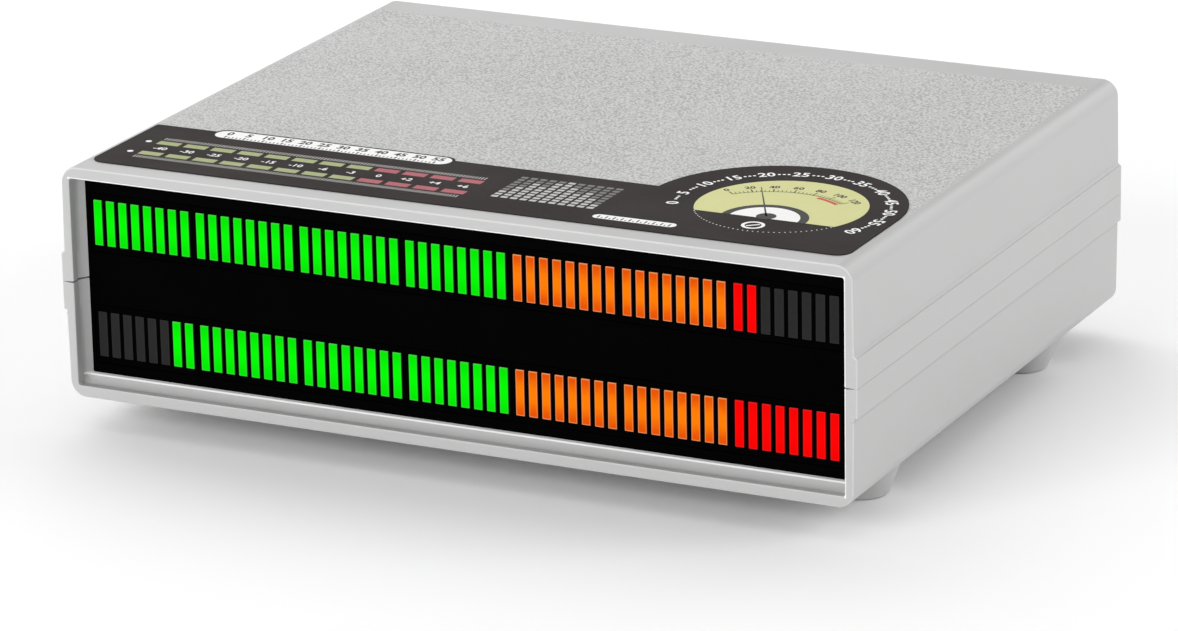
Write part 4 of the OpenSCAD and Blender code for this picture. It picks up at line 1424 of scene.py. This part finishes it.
class Printing:
    """One colour of print: thin closed solids gathered in a single mesh, drawn in millimetres."""

    merge: float = 1e-4

    def __init__(self, name: str, ink: Finish, base: float, top: float, to: Matrix) -> None:
        """Start a print.

        Args:
            name: Name of the piece.
            ink: Its finish.
            base: Height of its underside in the print's own frame.
            top: Height of its upper side.
            to: Turns the print's frame into the part's, in millimetres.
        """
        self.name = name
        self.ink = ink
        self.base = base
        self.top = top
        self.to = to
        self.bm = bmesh.new()

    def slab(self, outline: Sequence[Point]) -> None:
        """Add a flat shape.

        Args:
            outline: Its points, counter-clockwise.
        """
        low = [self.bm.verts.new((x, y, self.base)) for x, y in outline]
        high = [self.bm.verts.new((x, y, self.top)) for x, y in outline]
        self.bm.faces.new(low[::-1])
        self.bm.faces.new(high)
        for k in range(len(outline)):
            n = (k + 1) % len(outline)
            self.bm.faces.new((low[k], low[n], high[n], high[k]))

    def box(self, x: float, y: float, w: float, h: float) -> None:
        """Add an upright oblong around its middle."""
        self.slab([(x + sx * w / 2, y + sy * h / 2) for sx, sy in ((-1, -1), (1, -1), (1, 1), (-1, 1))])

    def sector(self, centre: Point, outer: float, inner: float = 0.0, span: Point = (0.0, 360.0),
               steps: int = 30) -> None:
        """Add an arc band or ring, or where inner is 0 a disc or a segment of one.

        Args:
            centre: Its middle.
            outer: Outer radius.
            inner: Inner radius.
            span: The two angles that it lies between, in degrees.
            steps: Count of steps along it.
        """
        start, end = span
        whole = end - start >= 360
        count = steps if whole else steps + 1
        angles = [math.radians(start + (end - start) * k / steps) for k in range(count)]
        rim = [polar(centre, outer, a) for a in angles]
        hub = [polar(centre, inner, a) for a in angles]
        if inner <= 0:
            self.slab(rim)
        elif whole:
            self.ring(rim, hub)
        else:
            self.slab(rim + hub[::-1])

    def ring(self, rim: Sequence[Point], hub: Sequence[Point]) -> None:
        """Add a flat ring.

        Args:
            rim: Its outer outline, counter-clockwise.
            hub: Its inner outline, with as many points.
        """
        edges = ((hub, self.base), (rim, self.base), (rim, self.top), (hub, self.top))
        rows = [[self.bm.verts.new((x, y, z)) for x, y in line] for line, z in edges]
        for row, after in zip(rows, rows[1:] + rows[:1]):
            for k in range(len(row)):
                n = (k + 1) % len(row)
                self.bm.faces.new((row[k], row[n], after[n], after[k]))

    def pill(self, x0: float, x1: float, y: float, h: float) -> None:
        """Add an oblong with round ends.

        Args:
            x0: Its left end.
            x1: Its right end.
            y: Its middle.
            h: Its height.
        """
        r = h / 2
        turn = [math.radians(-90 + 15 * k) for k in range(13)]
        right = [polar((x1 - r, y), r, a) for a in turn]
        left = [polar((x0 + r, y), -r, a) for a in turn]
        self.slab(right + left)

    def number(self, text: str, at: Point, size: float, turn: float = 0.0, weight: float = 0.02) -> None:
        """Add a number around its middle.

        Args:
            text: The number.
            at: Its middle.
            size: Height of the type.
            turn: Angle that it is turned by, in degrees.
            weight: How much its strokes grow, as a share of the size.
        """
        curve = bpy.data.curves.new("number", "FONT")
        curve.body = text
        curve.size = size
        curve.align_x = "CENTER"
        curve.align_y = "CENTER"
        curve.resolution_u = 2
        curve.offset = weight * size
        curve.extrude = self.thick() / 2
        obj = plain_object("number", curve)
        bpy.context.view_layer.update()
        mesh = bpy.data.meshes.new_from_object(obj.evaluated_get(bpy.context.evaluated_depsgraph_get()))
        spot = Matrix.Translation((*at, self.middle()))
        mesh.transform(spot @ Matrix.Rotation(math.radians(turn), 4, "Z"))
        self.bm.from_mesh(mesh)
        bpy.data.objects.remove(obj)
        bpy.data.curves.remove(curve)
        bpy.data.meshes.remove(mesh)

    def take(self, repeater: Repeater, **values: Any) -> None:
        """Add what a repeater grows.

        Args:
            repeater: The repeater.
            **values: Inputs of its tree, with underscores for spaces.
        """
        grown = repeater.grow("marks", self.ink, **values)
        mesh = grown.data
        self.bm.from_mesh(mesh)
        bpy.data.objects.remove(grown)
        bpy.data.meshes.remove(mesh)

    def row(self, repeater: Repeater, count: int, start: Point, pitch: float, size: Point) -> None:
        """Add a straight row of dashes or ticks of a stated size, a pitch apart."""
        self.take(repeater, Count=count, Offset=Vector((pitch, 0, 0)), Start=Vector((*start, self.middle())),
                  Size=Vector((*size, self.thick())))

    def arc(self, repeater: Repeater, count: int, centre: Point, radius: float, span: Point, size: Point,
            dots: bool = False) -> None:
        """Add ticks or dots along an arc.

        Args:
            repeater: Grows them.
            count: How many.
            centre: Middle of the arc.
            radius: Its radius.
            span: The two angles that it lies between, in degrees.
            size: Length and width of a tick, or the width of a dot twice.
            dots: True for dots.
        """
        first, last = span
        self.take(repeater, Count=count, Radius=radius, From=math.radians(first), To=math.radians(last),
                  Centre=Vector((*centre, self.middle())), Size=Vector((*size, self.thick())), Round=dots)

    def middle(self) -> float:
        """Return the height of the middle of the ink."""
        return (self.base + self.top) / 2

    def thick(self) -> float:
        """Return the thickness of the ink."""
        return self.top - self.base

    def close(self, body: Body) -> Obj:
        """Turn the print into a piece and hand it to the frame.

        Args:
            body: The CAD body that it rides on.

        Returns:
            The piece.
        """
        bmesh.ops.remove_doubles(self.bm, verts=self.bm.verts, dist=self.merge)
        bmesh.ops.dissolve_degenerate(self.bm, dist=self.merge, edges=self.bm.edges)
        self.bm.transform(Matrix.Scale(MM, 4) @ self.to)
        bmesh.ops.recalc_face_normals(self.bm, faces=self.bm.faces)
        return place(self.ink.on(from_bmesh(self.name, self.bm)), body)


@dataclass
class TopFilm:
    """The printed film on the top: level scale, bar motif, dial and ring of numbers.

    Places are from the middle of the case. A row of marks is its count, start, pitch and size, an arc of them
    its count, radius and size, and a pill its left end, right end, middle and height. A unit is what the
    numbers of a scale go up by.
    """

    film_top: float = 64.25
    ink_t: float = 0.012
    row_ys: Point = (-55.2, -63.8)
    dash: Point = (5.8, 2.5)
    dash_pitch: float = 7.2
    dash_start: float = -84.9
    green_dashes: int = 8
    red_dashes: int = 4
    ticks: int = 106
    tick: Point = (0.3, 1.7)
    tick_pitch: float = 0.8
    tick_lead: float = 2.6
    tick_gap: float = 3.0
    levels: tuple[str, ...] = ("-40", "-30", "-25", "-20", "-15", "-10", "-6", "-3", "0", "+2", "+4", "+6")
    level_size: float = 2.7
    dot_x: float = -90.4
    dot_r: float = 0.75
    motif_at: Point = (4.4, -63.2)
    motif_pitch: Point = (2.4, 1.9)
    motif_cell: Point = (1.7, 1.25)
    motif_rows: int = 9
    motif_heights: tuple[int, ...] = (3, 5, 7, 6, 8, 9, 7, 5, 6, 4, 2)
    long_pill: Oblong = (-79.0, -17.0, -43.3, 5.6)
    long_ruler: tuple[MarkRow, ...] = ((56, (-75.5, -45.35), 1.0, (0.28, 0.9)),
                                       (12, (-75.5, -45.1), 5.0, (0.4, 1.4)))
    ruler_y: float = -42.6
    ruler_size: float = 3.2
    ruler_weight: float = 0.035
    ruler_unit: int = 5
    short_pill: Oblong = (31.5, 52.0, -68.2, 2.9)
    short_ruler: tuple[MarkRow, ...] = ((19, (33.0, -68.9), 0.97, (0.26, 0.7)),
                                        (10, (33.0, -68.4), 1.94, (0.34, 1.6)))
    dial: Point = (67.5, -45.7)
    dial_r: float = 19.7
    chord_y: float = -55.5
    pivot_y: float = -54.0
    pivot_r: float = 2.3
    needle_tip: Point = (57.3, -34.1)
    needle_half: Point = (0.22, 0.088)
    scale_span: Point = (138.0, 52.0)
    scale_line: Point = (19.0, 18.72)
    scale_ticks: tuple[MarkArc, ...] = ((31, 19.5, (1.1, 0.16)), (7, 19.9, (2.0, 0.28)))
    scale_numbers: int = 7
    scale_number_r: float = 22.3
    scale_size: float = 2.5
    scale_weight: float = 0.03
    scale_unit: int = 20
    red_band: Point = (18.3, 17.3)
    red_span: Point = (52.0, 74.0)
    hub_r: Point = (10.2, 8.2)
    zero_y: float = -61.1
    zero_r: Point = (2.7, 1.9)
    zero_slot: tuple[Point, ...] = ((-1.5, -0.8), (-1.0, -1.2), (1.5, 0.8), (1.0, 1.2))
    rest_dots: int = 34
    rest_span: Point = (212.0, 328.0)
    rest_dot: Point = (0.34, 0.34)
    ring_span: Point = (196.0, -26.0)
    ring_numbers: int = 13
    ring_r: float = 24.6
    ring_size: float = 4.1
    ring_unit: int = 5
    ring_dot: Point = (0.75, 0.75)
    ring_dot_shares: Triple = (0.36, 0.5, 0.64)
    rows: Repeater = field(default_factory=lambda: Repeater(mark_row_tree))
    arcs: Repeater = field(default_factory=lambda: Repeater(mark_arc_tree))

    def layer(self, name: str, ink: Finish, level: int = 0) -> Printing:
        """Start a colour of print.

        Args:
            name: Name of the piece.
            ink: Its finish.
            level: How many inks lie below it.

        Returns:
            The print.
        """
        base = self.film_top - INK_SINK + level * self.ink_t
        to = Matrix.Translation((0, CASE_MIDDLE_Y, 0))
        return Printing(name, ink, base, base + self.ink_t + INK_SINK, to)

    def level_scale(self, green: Printing, red: Printing, fine: Printing, white: Printing) -> None:
        """Draw the two rows of dashes with their fine ticks and numbers.

        Args:
            green: Takes the lower levels.
            red: Takes the upper levels.
            fine: Takes the ticks.
            white: Takes the numbers and the dots that lead the rows.
        """
        red_start = self.dash_start + self.green_dashes * self.dash_pitch
        for y, side in zip(self.row_ys, (1, -1)):
            green.row(self.rows, self.green_dashes, (self.dash_start, y), self.dash_pitch, self.dash)
            red.row(self.rows, self.red_dashes, (red_start, y), self.dash_pitch, self.dash)
            fine.row(self.rows, self.ticks, (self.dash_start - self.tick_lead, y + side * self.tick_gap),
                     self.tick_pitch, self.tick)
            white.sector((self.dot_x, y), self.dot_r, steps=16)
        between = sum(self.row_ys) / 2
        for k, level in enumerate(self.levels):
            white.number(level, (self.dash_start + k * self.dash_pitch, between), self.level_size)

    def bar_motif(self, pale: Printing, ash: Printing) -> None:
        """Draw a small picture of rising and falling bars.

        Args:
            pale: Takes the cells that are on.
            ash: Takes the cells that are off.
        """
        x, y = self.motif_at
        for k, count in enumerate(self.motif_heights):
            for step in range(self.motif_rows):
                ink = pale if step < count else ash
                ink.box(x + self.motif_pitch[0] * k, y + self.motif_pitch[1] * step, *self.motif_cell)

    def rulers(self, white: Printing, black: Printing) -> None:
        """Draw the two white pills, with a ruler on each.

        Args:
            white: Takes the pills.
            black: Takes the rulers.
        """
        white.pill(*self.long_pill)
        for marks in self.long_ruler:
            black.row(self.rows, *marks)
        count, (x, _), pitch, _ = self.long_ruler[-1]
        for k in range(count):
            black.number(str(self.ruler_unit * k), (x + pitch * k, self.ruler_y), self.ruler_size,
                         weight=self.ruler_weight)
        white.pill(*self.short_pill)
        for marks in self.short_ruler:
            black.row(self.rows, *marks)

    def face(self, cream: Printing, black: Printing, white: Printing, red: Printing) -> None:
        """Draw the dial's face, scale and hub.

        Args:
            cream: Takes the face.
            black: Takes the scale and the rim of the hub.
            white: Takes the middle of the hub.
            red: Takes the band at the end of the scale.
        """
        x, y = self.dial
        low = math.degrees(math.asin((self.chord_y - y) / self.dial_r))
        cream.sector(self.dial, self.dial_r, span=(low, 180 - low), steps=72)
        pivot = (x, self.pivot_y)
        first, last = self.scale_span
        black.sector(pivot, *self.scale_line, span=(last, first), steps=40)
        for count, radius, size in self.scale_ticks:
            black.arc(self.arcs, count, pivot, radius, self.scale_span, size)
        for k in range(self.scale_numbers):
            a = first + (last - first) * k / (self.scale_numbers - 1)
            spot = polar(pivot, self.scale_number_r, math.radians(a))
            black.number(str(self.scale_unit * k), spot, self.scale_size, a - 90, self.scale_weight)
        red.sector(pivot, *self.red_band, span=self.red_span, steps=16)
        for ink, radius in zip((black, white), self.hub_r):
            ink.sector((x, self.chord_y), radius, span=(0.0, 180.0), steps=36)

    def needle(self, black: Printing, white: Printing) -> None:
        """Draw the needle, its pivot, the zero screw and the dotted rest of the dial's circle.

        Args:
            black: Takes the needle and its pivot.
            white: Takes the screw and the dots.
        """
        x, _ = self.dial
        pivot = Vector((x, self.pivot_y))
        tip = Vector(self.needle_tip)
        root, end = [(tip - pivot).normalized().orthogonal() * half for half in self.needle_half]
        black.slab([tuple(spot) for spot in (pivot + root, tip + end, tip - end, pivot - root)])
        black.sector(tuple(pivot), self.pivot_r, steps=28)
        white.sector((x, self.zero_y), *self.zero_r, steps=32)
        white.slab([(x + dx, self.zero_y + dy) for dx, dy in self.zero_slot])
        white.arc(self.arcs, self.rest_dots, self.dial, self.dial_r, self.rest_span, self.rest_dot, True)

    def number_ring(self, white: Printing) -> None:
        """Draw the ring of numbers and dots round the dial.

        Args:
            white: Takes them.
        """
        first, last = self.ring_span
        gaps = self.ring_numbers - 1
        step = (last - first) / gaps
        for k in range(self.ring_numbers):
            a = first + step * k
            spot = polar(self.dial, self.ring_r, math.radians(a))
            white.number(str(self.ring_unit * k), spot, self.ring_size, a - 90)
        for share in self.ring_dot_shares:
            white.arc(self.arcs, gaps, self.dial, self.ring_r,
                      (first + share * step, last - (1 - share) * step), self.ring_dot, True)

    def build(self) -> None:
        """Draw every colour of print and hand it to the frame."""
        FILM_CHARCOAL.on_node("top_label")
        sage = self.layer("print_sage", INK_SAGE)
        rose = self.layer("print_rose", INK_ROSE)
        fine = self.layer("print_fine", INK_BONE)
        white = self.layer("print_white", INK_WHITE)
        ash = self.layer("print_ash", INK_ASH)
        cream = self.layer("print_dial", INK_CREAM)
        black = self.layer("print_black", INK_BLACK, 1)
        red = self.layer("print_red", INK_RED, 1)
        hub = self.layer("print_hub", INK_WHITE, 2)
        top = self.layer("print_needle", INK_BLACK, 3)
        self.level_scale(sage, rose, fine, white)
        self.bar_motif(fine, ash)
        self.rulers(white, black)
        self.face(cream, black, hub, red)
        self.needle(top, white)
        self.number_ring(white)
        for ink in (sage, rose, fine, white, ash, cream, black, red, hub, top):
            ink.close(Body.CASE)


# Rear


@dataclass(frozen=True)
class SoftPart:
    """A part that hands or plugs touch: its CAD node with rounded edges."""

    node: str
    name: str
    width: float
    body: Body
    finish: Finish
    slot: str

    def build(self) -> None:
        """Round the part, dress it and hand it to the frame."""
        part = softened(self.node, self.name, self.width)
        place(self.finish.on(part), self.body, self.slot, (self.node,))


@dataclass
class RearPanel:
    """The rear plate with its sockets, buttons, level knob and plain markings.

    A sign is drawn round its own middle, and a box in it is its middle, width and height.
    """

    face_y: float = CASE_MIDDLE_Y + 75.0
    knob_end_y: float = CASE_MIDDLE_Y + 88.8
    control_z: float = 27.8
    knob_x: float = 11.0
    power_x: float = -33.0
    mode_x: float = -11.0
    jack_x: float = -55.0
    ink_t: float = 0.02
    mark_z: float = 38.6
    scale_span: Point = (240.0, -60.0)
    scale_dots: tuple[tuple[int, float], ...] = ((11, 0.95), (51, 0.4))
    scale_r: float = 9.6
    scale_numbers: int = 11
    scale_number_r: float = 12.0
    scale_size: float = 2.3
    pointer_span: Point = (-0.98, -0.45)
    pointer: Oblong = (0.0, 3.6, 0.9, 6.8)
    power_arc: Point = (2.0, 1.6)
    power_span: Point = (120.0, 420.0)
    power_bar: Oblong = (0.0, 1.3, 0.4, 2.2)
    mode_heights: tuple[float, ...] = (1.6, 3.2, 2.4, 3.8)
    mode_bar: Triple = (-2.1, 1.4, 0.8)
    mode_foot: float = -1.9
    pin_r: float = 0.5
    cup: Point = (1.5, 1.15)
    cup_span: Point = (35.0, 325.0)
    pole_x: float = 5.2
    pole: Point = (1.5, 1.2)
    pole_bar: Point = (1.4, 0.35)
    polarity_bars: tuple[Oblong, ...] = ((-2.6, 0.0, 2.2, 0.3), (2.05, 0.0, 3.1, 0.3),
                                         (5.2, 0.45, 0.35, 0.5), (5.2, -0.45, 0.35, 0.5))
    soft_parts: tuple[SoftPart, ...] = (
        SoftPart("sensitivity_knob", "level_knob", 0.3, Body.LEVEL, BUTTON_BLACK, "button_black"),
        SoftPart("power_button", "power_cap", 0.35, Body.POWER, BUTTON_BLACK, "button_black"),
        SoftPart("mode_button", "mode_cap", 0.35, Body.MODE, BUTTON_BLACK, "button_black"),
        SoftPart("pot_nut", "level_nut", 0.25, Body.CASE, PLATED_METAL, "plated_metal"),
        SoftPart("rca_shells", "line_sleeves", 0.12, Body.CASE, PLATED_METAL, "plated_metal"),
        SoftPart("rca_insert_left", "line_insert_left", 0.2, Body.CASE, INSERT_WHITE, "insert_white"),
        SoftPart("rca_insert_right", "line_insert_right", 0.2, Body.CASE, INSERT_RED, "insert_red"))
    arcs: Repeater = field(default_factory=lambda: Repeater(mark_arc_tree))

    def frame_at(self, x: float, y: float, z: float) -> Matrix:
        """Return the turn from a drawing, seen from behind, to the part around a point."""
        turn = Matrix(((-1, 0, 0), (0, 0, 1), (0, 1, 0))).to_4x4()
        return Matrix.Translation((x, y, z)) @ turn

    def print_at(self, name: str, x: float, z: float) -> Printing:
        """Start a print on the rear face around a point."""
        return Printing(name, INK_SLATE, -INK_SINK, self.ink_t, self.frame_at(x, self.face_y, z))

    def knob_scale(self) -> None:
        """Print the dots and numbers round the knob, and fill its pointer slot with paint."""
        ink = self.print_at("knob_scale", self.knob_x, self.control_z)
        for count, size in self.scale_dots:
            ink.arc(self.arcs, count, (0, 0), self.scale_r, self.scale_span, (size, size), True)
        first, last = self.scale_span
        for k in range(self.scale_numbers):
            a = math.radians(first + (last - first) * k / (self.scale_numbers - 1))
            ink.number(str(k), polar((0, 0), self.scale_number_r, a), self.scale_size)
        ink.close(Body.CASE)
        pointer = Printing("knob_pointer", INK_WHITE, *self.pointer_span,
                           self.frame_at(self.knob_x, self.knob_end_y, self.control_z))
        pointer.box(*self.pointer)
        pointer.close(Body.LEVEL)

    def power_sign(self) -> None:
        """Print a broken ring with a bar over the power button."""
        ink = self.print_at("power_sign", self.power_x, self.mark_z)
        ink.sector((0, 0), *self.power_arc, self.power_span)
        ink.box(*self.power_bar)
        ink.close(Body.CASE)

    def mode_sign(self) -> None:
        """Print a few bars over the mode button."""
        ink = self.print_at("mode_sign", self.mode_x, self.mark_z)
        start, pitch, width = self.mode_bar
        for k, height in enumerate(self.mode_heights):
            ink.box(start + pitch * k, self.mode_foot + height / 2, width, height)
        ink.close(Body.CASE)

    def polarity_sign(self) -> None:
        """Print the poles of the power socket over it."""
        ink = self.print_at("polarity_sign", self.jack_x, self.mark_z)
        ink.sector((0, 0), self.pin_r, steps=16)
        ink.sector((0, 0), *self.cup, self.cup_span)
        for x in (-self.pole_x, self.pole_x):
            ink.sector((x, 0), *self.pole)
            ink.box(x, 0, *self.pole_bar)
        for bar in self.polarity_bars:
            ink.box(*bar)
        ink.close(Body.CASE)

    def build(self) -> None:
        """Dress the plate, round the parts that hands and plugs touch, and print the markings."""
        REAR_PLASTIC.on_node("rear_panel")
        for part in self.soft_parts:
            part.build()
        self.knob_scale()
        self.power_sign()
        self.mode_sign()
        self.polarity_sign()


# CAD nodes that keep their shape


@dataclass
class KeptNodes:
    """The CAD nodes that keep their shape: front plate, light modules, screws and electronics."""

    modules: str = "led_housing_"
    finishes: dict[Finish, tuple[str, ...]] = field(default_factory=lambda: {
        PANEL_BLACK: ("front_panel",),
        SCREW_STEEL: ("case_screws", "board_screws"),
        BOARD_BLACK: ("display_board",),
        BOARD_GREEN: ("main_board",),
        CHIP_BLACK: ("driver_chips", "controller_chip", "voltage_regulator"),
        CAN_METAL: ("crystal", "sensitivity_pot"),
        SLEEVE_BLUE: ("filter_capacitors",),
        CONNECTOR_BLACK: ("display_connector", "main_connector", "dc_jack", "rca_block", "power_switch",
                          "mode_switch"),
        RIBBON_GREY: ("ribbon_cable",),
        PLATED_METAL: ("dc_jack_pin", "pot_shaft")})

    def build(self) -> None:
        """Give each node its finish."""
        modules = tuple(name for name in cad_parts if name.startswith(self.modules))
        for finish, names in {**self.finishes, MODULE_BLACK: modules}.items():
            for name in names:
                finish.on_node(name)


# Studio


@dataclass(frozen=True)
class SoftBox:
    """A square soft light that faces the object."""

    name: str
    at: Triple
    size: float
    power: float
    aim: Triple = (0.0, 0.0, 0.03)

    def hang(self) -> None:
        """Put the light into the scene."""
        data = bpy.data.lights.new(self.name, "AREA")
        data.shape = "SQUARE"
        data.size = self.size
        data.energy = self.power
        lamp = plain_object(self.name, data)
        lamp.location = self.at
        lamp.rotation_mode = "QUATERNION"
        lamp.rotation_quaternion = (Vector(self.aim) - Vector(self.at)).to_track_quat("-Z", "Y")


@dataclass
class Studio:
    """Camera at the photograph's viewing angle, pale floor and soft light."""

    camera_at: Triple = (0.58132, -1.18568, 0.44725)
    right: Triple = (0.89862, 0.43833, -0.01846)
    up: Triple = (-0.12067, 0.28741, 0.95018)
    back: Triple = (0.4218, -0.85162, 0.31116)
    lens: float = 177.87
    sensor: float = 36.0
    clip: Point = (0.01, 100.0)
    sky: float = 0.47
    floor_half: float = 6.0
    floor_tone: float = 0.93
    floor_white: float = 0.99
    lamps: tuple[SoftBox, ...] = (
        SoftBox("key light", (-0.9, 0.75, 1.2), 1.4, 8.8),
        SoftBox("top light", (-0.1, -0.1, 2.2), 1.8, 5.0),
        SoftBox("front light", (-0.5, -1.8, 0.75), 1.0, 17.5),
        SoftBox("right light", (1.65, 0.4, 1.0), 1.0, 11.2),
        SoftBox("left light", (-1.8, 0.3, 0.6), 1.0, 2.5),
        SoftBox("rear light", (0.4, 1.8, 0.6), 1.0, 3.0))

    def shoot_from(self) -> None:
        """Set up the camera."""
        data = bpy.data.cameras.new("camera")
        data.lens = self.lens
        data.sensor_width = self.sensor
        data.sensor_fit = "HORIZONTAL"
        data.clip_start, data.clip_end = self.clip
        camera = plain_object("camera", data)
        turn = Matrix((self.right, self.up, self.back)).transposed().to_4x4()
        camera.matrix_world = Matrix.Translation(self.camera_at) @ turn
        bpy.context.scene.camera = camera

    def seen_share(self, sketch: NodeSketch) -> Socket:
        """Tell the rays by which the surroundings are seen from those by which they light.

        Args:
            sketch: Adds the nodes.

        Returns:
            1 for rays from the camera and for those off gloss or through glass.
        """
        path = sketch.add("ShaderNodeLightPath").outputs
        mirrored = sketch.math("MAXIMUM", path["Is Glossy Ray"], path["Is Transmission Ray"])
        return sketch.math("MAXIMUM", path["Is Camera Ray"], mirrored)

    def lay_floor(self) -> None:
        """Lay the pale floor, white where it is seen, which keeps the shadow."""
        bm = bmesh.new()
        h = self.floor_half
        bm.faces.new([bm.verts.new((x, y, 0.0)) for x, y in ((-h, -h), (h, -h), (h, h), (-h, h))])
        floor = from_bmesh("floor", bm)
        material = bpy.data.materials.new("pale floor")
        material.use_nodes = True
        sketch = NodeSketch(material.node_tree)
        tone = sketch.blend(sketch.noise(3.0), (self.floor_tone,) * 3, (self.floor_tone * 1.01,) * 3)
        tone = sketch.blend(self.seen_share(sketch), tone, (self.floor_white,) * 3)
        sketch.dress(material.node_tree.nodes["Principled BSDF"], Base_Color=tone, Roughness=1.0,
                     Specular_IOR_Level=0.0)
        floor.data.materials.append(material)

    def hang_sky(self) -> None:
        """Set the world: white where it is seen, dimmer where it lights."""
        world = bpy.data.worlds.new("white room")
        world.use_nodes = True
        sketch = NodeSketch(world.node_tree)
        sketch.dress(world.node_tree.nodes["Background"], Color=(1.0, 1.0, 1.0),
                     Strength=sketch.spread(self.seen_share(sketch), self.sky, 1.0))
        bpy.context.scene.world = world

    def build(self) -> None:
        """Set up camera, floor, world and lamps."""
        bpy.context.scene.view_settings.view_transform = "Standard"
        self.shoot_from()
        self.lay_floor()
        self.hang_sky()
        for lamp in self.lamps:
            lamp.hang()


def main() -> None:
    """Build and dress every sub-assembly in order."""
    logging.basicConfig(level=logging.INFO, format="%(message)s")
    Studio().build()
    CaseShell("top_cover", "case_top", False).build()
    CaseShell("bottom_cover", "case_bottom", True).build()
    bars = Repeater(light_bar_tree)
    LightRow("upper", 49.6, 0, 49).build(bars)
    LightRow("lower", 22.4, 6, 55).build(bars)
    TopFilm().build()
    RearPanel().build()
    KeptNodes().build()


if __name__ == "__main__":
    main()
